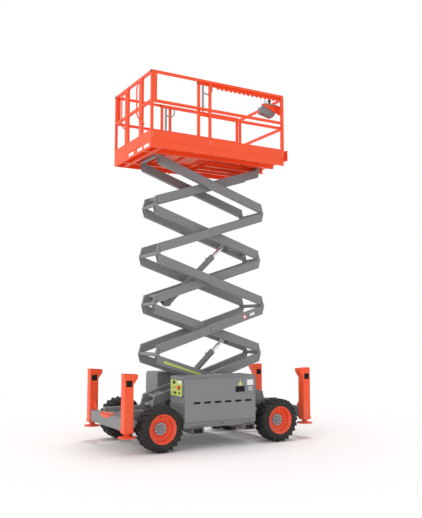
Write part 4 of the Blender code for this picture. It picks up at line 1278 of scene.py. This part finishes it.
class LIFT_OT_controls(bpy.types.Operator):
    """The platform control box, its bracket, joystick and switches"""
    bl_idname = "lift.controls"
    bl_label = "Platform controls"

    def execute(self, context):
        low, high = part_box("platform_control_box")
        back = 0.832             # x of the box's blunt end
        nose = 1.108
        wall = -0.586            # y where the box meets its bracket
        top = high.z
        box = Piece()
        brow = top - 0.048       # the box's top, under the tray's neck
        far_side = wall + 0.100
        box.prism([(back, low.z + 0.060), (nose - 0.050, low.z + 0.012), (nose, low.z + 0.066),
                   (nose, brow), (back, brow)], "Y", wall, far_side, 0.003)
        box.prism([(back + 0.060, brow - 0.004), (nose - 0.010, brow - 0.004),
                   (nose - 0.010, top + 0.004), (back + 0.060, top + 0.004)], "Y",
                  wall, far_side - 0.010, 0.002)
        box.done("control_housing", "extension", "arm grey", ["platform_control_box"])
        bracket = Piece()
        bracket.prism([(low.x + 0.002, top), (high.x, top), (high.x, top - 0.150),
                       (high.x - 0.030, top - 0.146)], "Y", wall - 0.014, wall - 0.0005, 0.002)
        bracket.box((high.x - 0.042, high.x), (low.y, wall - 0.012), (top - 0.030, top), 0.002)
        bracket.box((high.x - 0.042, high.x), (low.y, wall - 0.012),
                    (top - 0.150, top - 0.120), 0.002)
        bracket.done("control_bracket", "extension", "platform orange")
        lid = top + 0.004
        y = (wall + far_side) / 2
        pale = Piece()
        pale.prism([(back + 0.075, lid - 0.0005), (nose + 0.060, lid - 0.0005),
                    (nose + 0.068, lid + 0.014), (back + 0.067, lid + 0.014)], "Y",
                   wall - 0.022, far_side, 0.002)
        guard_x = back + 0.115
        pale.tube([(guard_x, y + 0.040, lid + 0.012), (guard_x, y + 0.040, lid + 0.055),
                   (guard_x, y + 0.022, lid + 0.078), (guard_x, y - 0.022, lid + 0.078),
                   (guard_x, y - 0.040, lid + 0.055), (guard_x, y - 0.040, lid + 0.012)],
                  0.006, 12)
        pale.done("control_tray", "extension", "pale grey")
        stick = Piece()
        stick.turned([(0, 0.013), (0.030, 0.013), (0.028, 0.024), (0.016, 0.034),
                      (0.018, 0.042), (0.020, 0.060), (0.026, 0.078), (0.026, 0.102),
                      (0.014, 0.112), (0, 0.112)], (back + 0.185, y - 0.020, lid), Z_AXIS, 32)
        for x in (0.215, 0.245, 0.275):
            stick.turned([(0, 0.013), (0.009, 0.013), (0.009, 0.021), (0.004, 0.023),
                          (0.003, 0.038), (0, 0.039)], (back + x, y + 0.045, lid), Z_AXIS, 20)
        stick.done("joystick", "extension", "black")
        stop = Piece()
        stop.turned([(0, 0.011), (0.011, 0.011), (0.011, 0.019), (0.020, 0.021),
                     (0.020, 0.028), (0.012, 0.033), (0, 0.034)],
                    (back + 0.255, y - 0.030, lid), Z_AXIS, 32)
        stop.done("platform_stop", "extension", "red")
        return {"FINISHED"}


# ---- stage ------------------------------------------------------------------------------
def floor_material():
    """Pale floor that keeps the shadow, and fades into the white round it."""
    finish = Finish("pale_floor")
    tree = finish.tree
    distance = finish.node("ShaderNodeVectorMath", {"operation": "LENGTH"},
                           {0: finish.place}, output="Value")
    rays = finish.tree.nodes.new("ShaderNodeLightPath")
    seen = Value(tree, rays.outputs["Is Camera Ray"]) + Value(tree, rays.outputs[
        "Is Glossy Ray"]) + Value(tree, rays.outputs["Is Transmission Ray"])
    far = finish.ramp(distance, 3.5, 8.0)
    finish.done(Base_Color=(0.93, 0.915, 0.905, 1.0), Roughness=0.9)
    finish.shader.inputs["Specular IOR Level"].default_value = 0.1
    glow = finish.node("ShaderNodeEmission", inputs={"Color": (1, 1, 1, 1), "Strength": 1.0})
    mixed = finish.node("ShaderNodeMixShader", inputs={
        0: far * seen, 1: Value(tree, finish.shader.outputs[0]), 2: glow})
    output = next(node for node in tree.nodes if node.type == "OUTPUT_MATERIAL")
    tree.links.new(mixed.socket, output.inputs["Surface"])
    return finish.material


def white_world(strength):
    """White where it is seen, and even soft light elsewhere."""
    world = bpy.data.worlds.new("studio")
    world.use_nodes = True
    tree = world.node_tree
    background = tree.nodes["Background"]
    background.inputs["Color"].default_value = (1, 1, 1, 1)
    rays = tree.nodes.new("ShaderNodeLightPath")
    camera = Value(tree, rays.outputs["Is Camera Ray"])
    glossy = Value(tree, rays.outputs["Is Glossy Ray"])
    through = Value(tree, rays.outputs["Is Transmission Ray"])
    seen = camera.maths("MAXIMUM", camera, glossy.maths("MAXIMUM", glossy, through))
    level = seen * (1.0 - strength) + strength
    tree.links.new(level.socket, background.inputs["Strength"])
    return world


class LIFT_OT_stage(bpy.types.Operator):
    """Floor, soft light and the camera"""
    bl_idname = "lift.stage"
    bl_label = "Stage"

    def execute(self, context):
        scene = context.scene
        stage = scene.lift_stage
        scene.view_settings.view_transform = "Standard"
        shape = bmesh.new()
        bmesh.ops.create_circle(shape, cap_ends=True, segments=64, radius=30.0)
        mesh = bpy.data.meshes.new("floor")
        shape.to_mesh(mesh)
        shape.free()
        mesh.materials.append(floor_material())
        floor = bpy.data.objects.new("floor", mesh)
        floor.location.z = -0.0005
        scene.collection.objects.link(floor)
        scene.world = white_world(stage.sky)
        for name, strength, spread, aim in (
                ("key", stage.key, 0.20, (-0.14, -0.09, -1.00)),
                ("fill", stage.fill, 1.2, (1.00, 0.20, -0.25))):
            lamp = bpy.data.lights.new(name, "SUN")
            lamp.energy = strength
            lamp.angle = spread
            light = bpy.data.objects.new(name, lamp)
            light.rotation_euler = Vector(aim).to_track_quat("-Z", "Y").to_euler()
            scene.collection.objects.link(light)
        camera_data = bpy.data.cameras.new("camera")
        camera_data.lens = stage.lens
        camera_data.sensor_width = 36.0
        camera_data.clip_end = 200.0
        camera = bpy.data.objects.new("camera", camera_data)
        camera.location = stage.place
        camera.rotation_euler = (math.pi / 2 + stage.pitch, 0.0, -stage.yaw)
        scene.collection.objects.link(camera)
        scene.camera = camera
        return {"FINISHED"}


# ---- add-on -----------------------------------------------------------------------------
OPERATORS = (
    LIFT_OT_finishes, LIFT_OT_tyres, LIFT_OT_rims, LIFT_OT_pin_caps, LIFT_OT_arm_marks,
    LIFT_OT_cylinders, LIFT_OT_cabinet_fittings, LIFT_OT_ground_panel,
    LIFT_OT_chassis_fittings, LIFT_OT_jack_fittings, LIFT_OT_toe_boards,
    LIFT_OT_floor_tread, LIFT_OT_rail_fittings, LIFT_OT_controls, LIFT_OT_stage,
)


class LIFT_PT_panel(bpy.types.Panel):
    """Lists the sizes, the colours and the operators"""
    bl_label = "Scissor lift"
    bl_idname = "LIFT_PT_panel"
    bl_space_type = "VIEW_3D"
    bl_region_type = "UI"
    bl_category = "Lift"

    def draw(self, context):
        for group in ("lift_colours", "lift_sizes", "lift_stage"):
            settings = getattr(context.scene, group)
            column = self.layout.column()
            for name in settings.__annotations__:
                column.prop(settings, name)
        for operator in OPERATORS:
            self.layout.operator(operator.bl_idname)


GROUPS = (("lift_colours", LiftColours), ("lift_sizes", LiftSizes), ("lift_stage", LiftStage))


def register():
    for name, group in GROUPS:
        bpy.utils.register_class(group)
        setattr(bpy.types.Scene, name, bpy.props.PointerProperty(type=group))
    for item in (*OPERATORS, LIFT_PT_panel):
        bpy.utils.register_class(item)


def unregister():
    for item in reversed((*OPERATORS, LIFT_PT_panel)):
        bpy.utils.unregister_class(item)
    for name, group in reversed(GROUPS):
        delattr(bpy.types.Scene, name)
        bpy.utils.unregister_class(group)


def main():
    register()
    for operator in OPERATORS:
        group, name = operator.bl_idname.split(".")
        getattr(getattr(bpy.ops, group), name)()


if __name__ == "__main__":
    main()
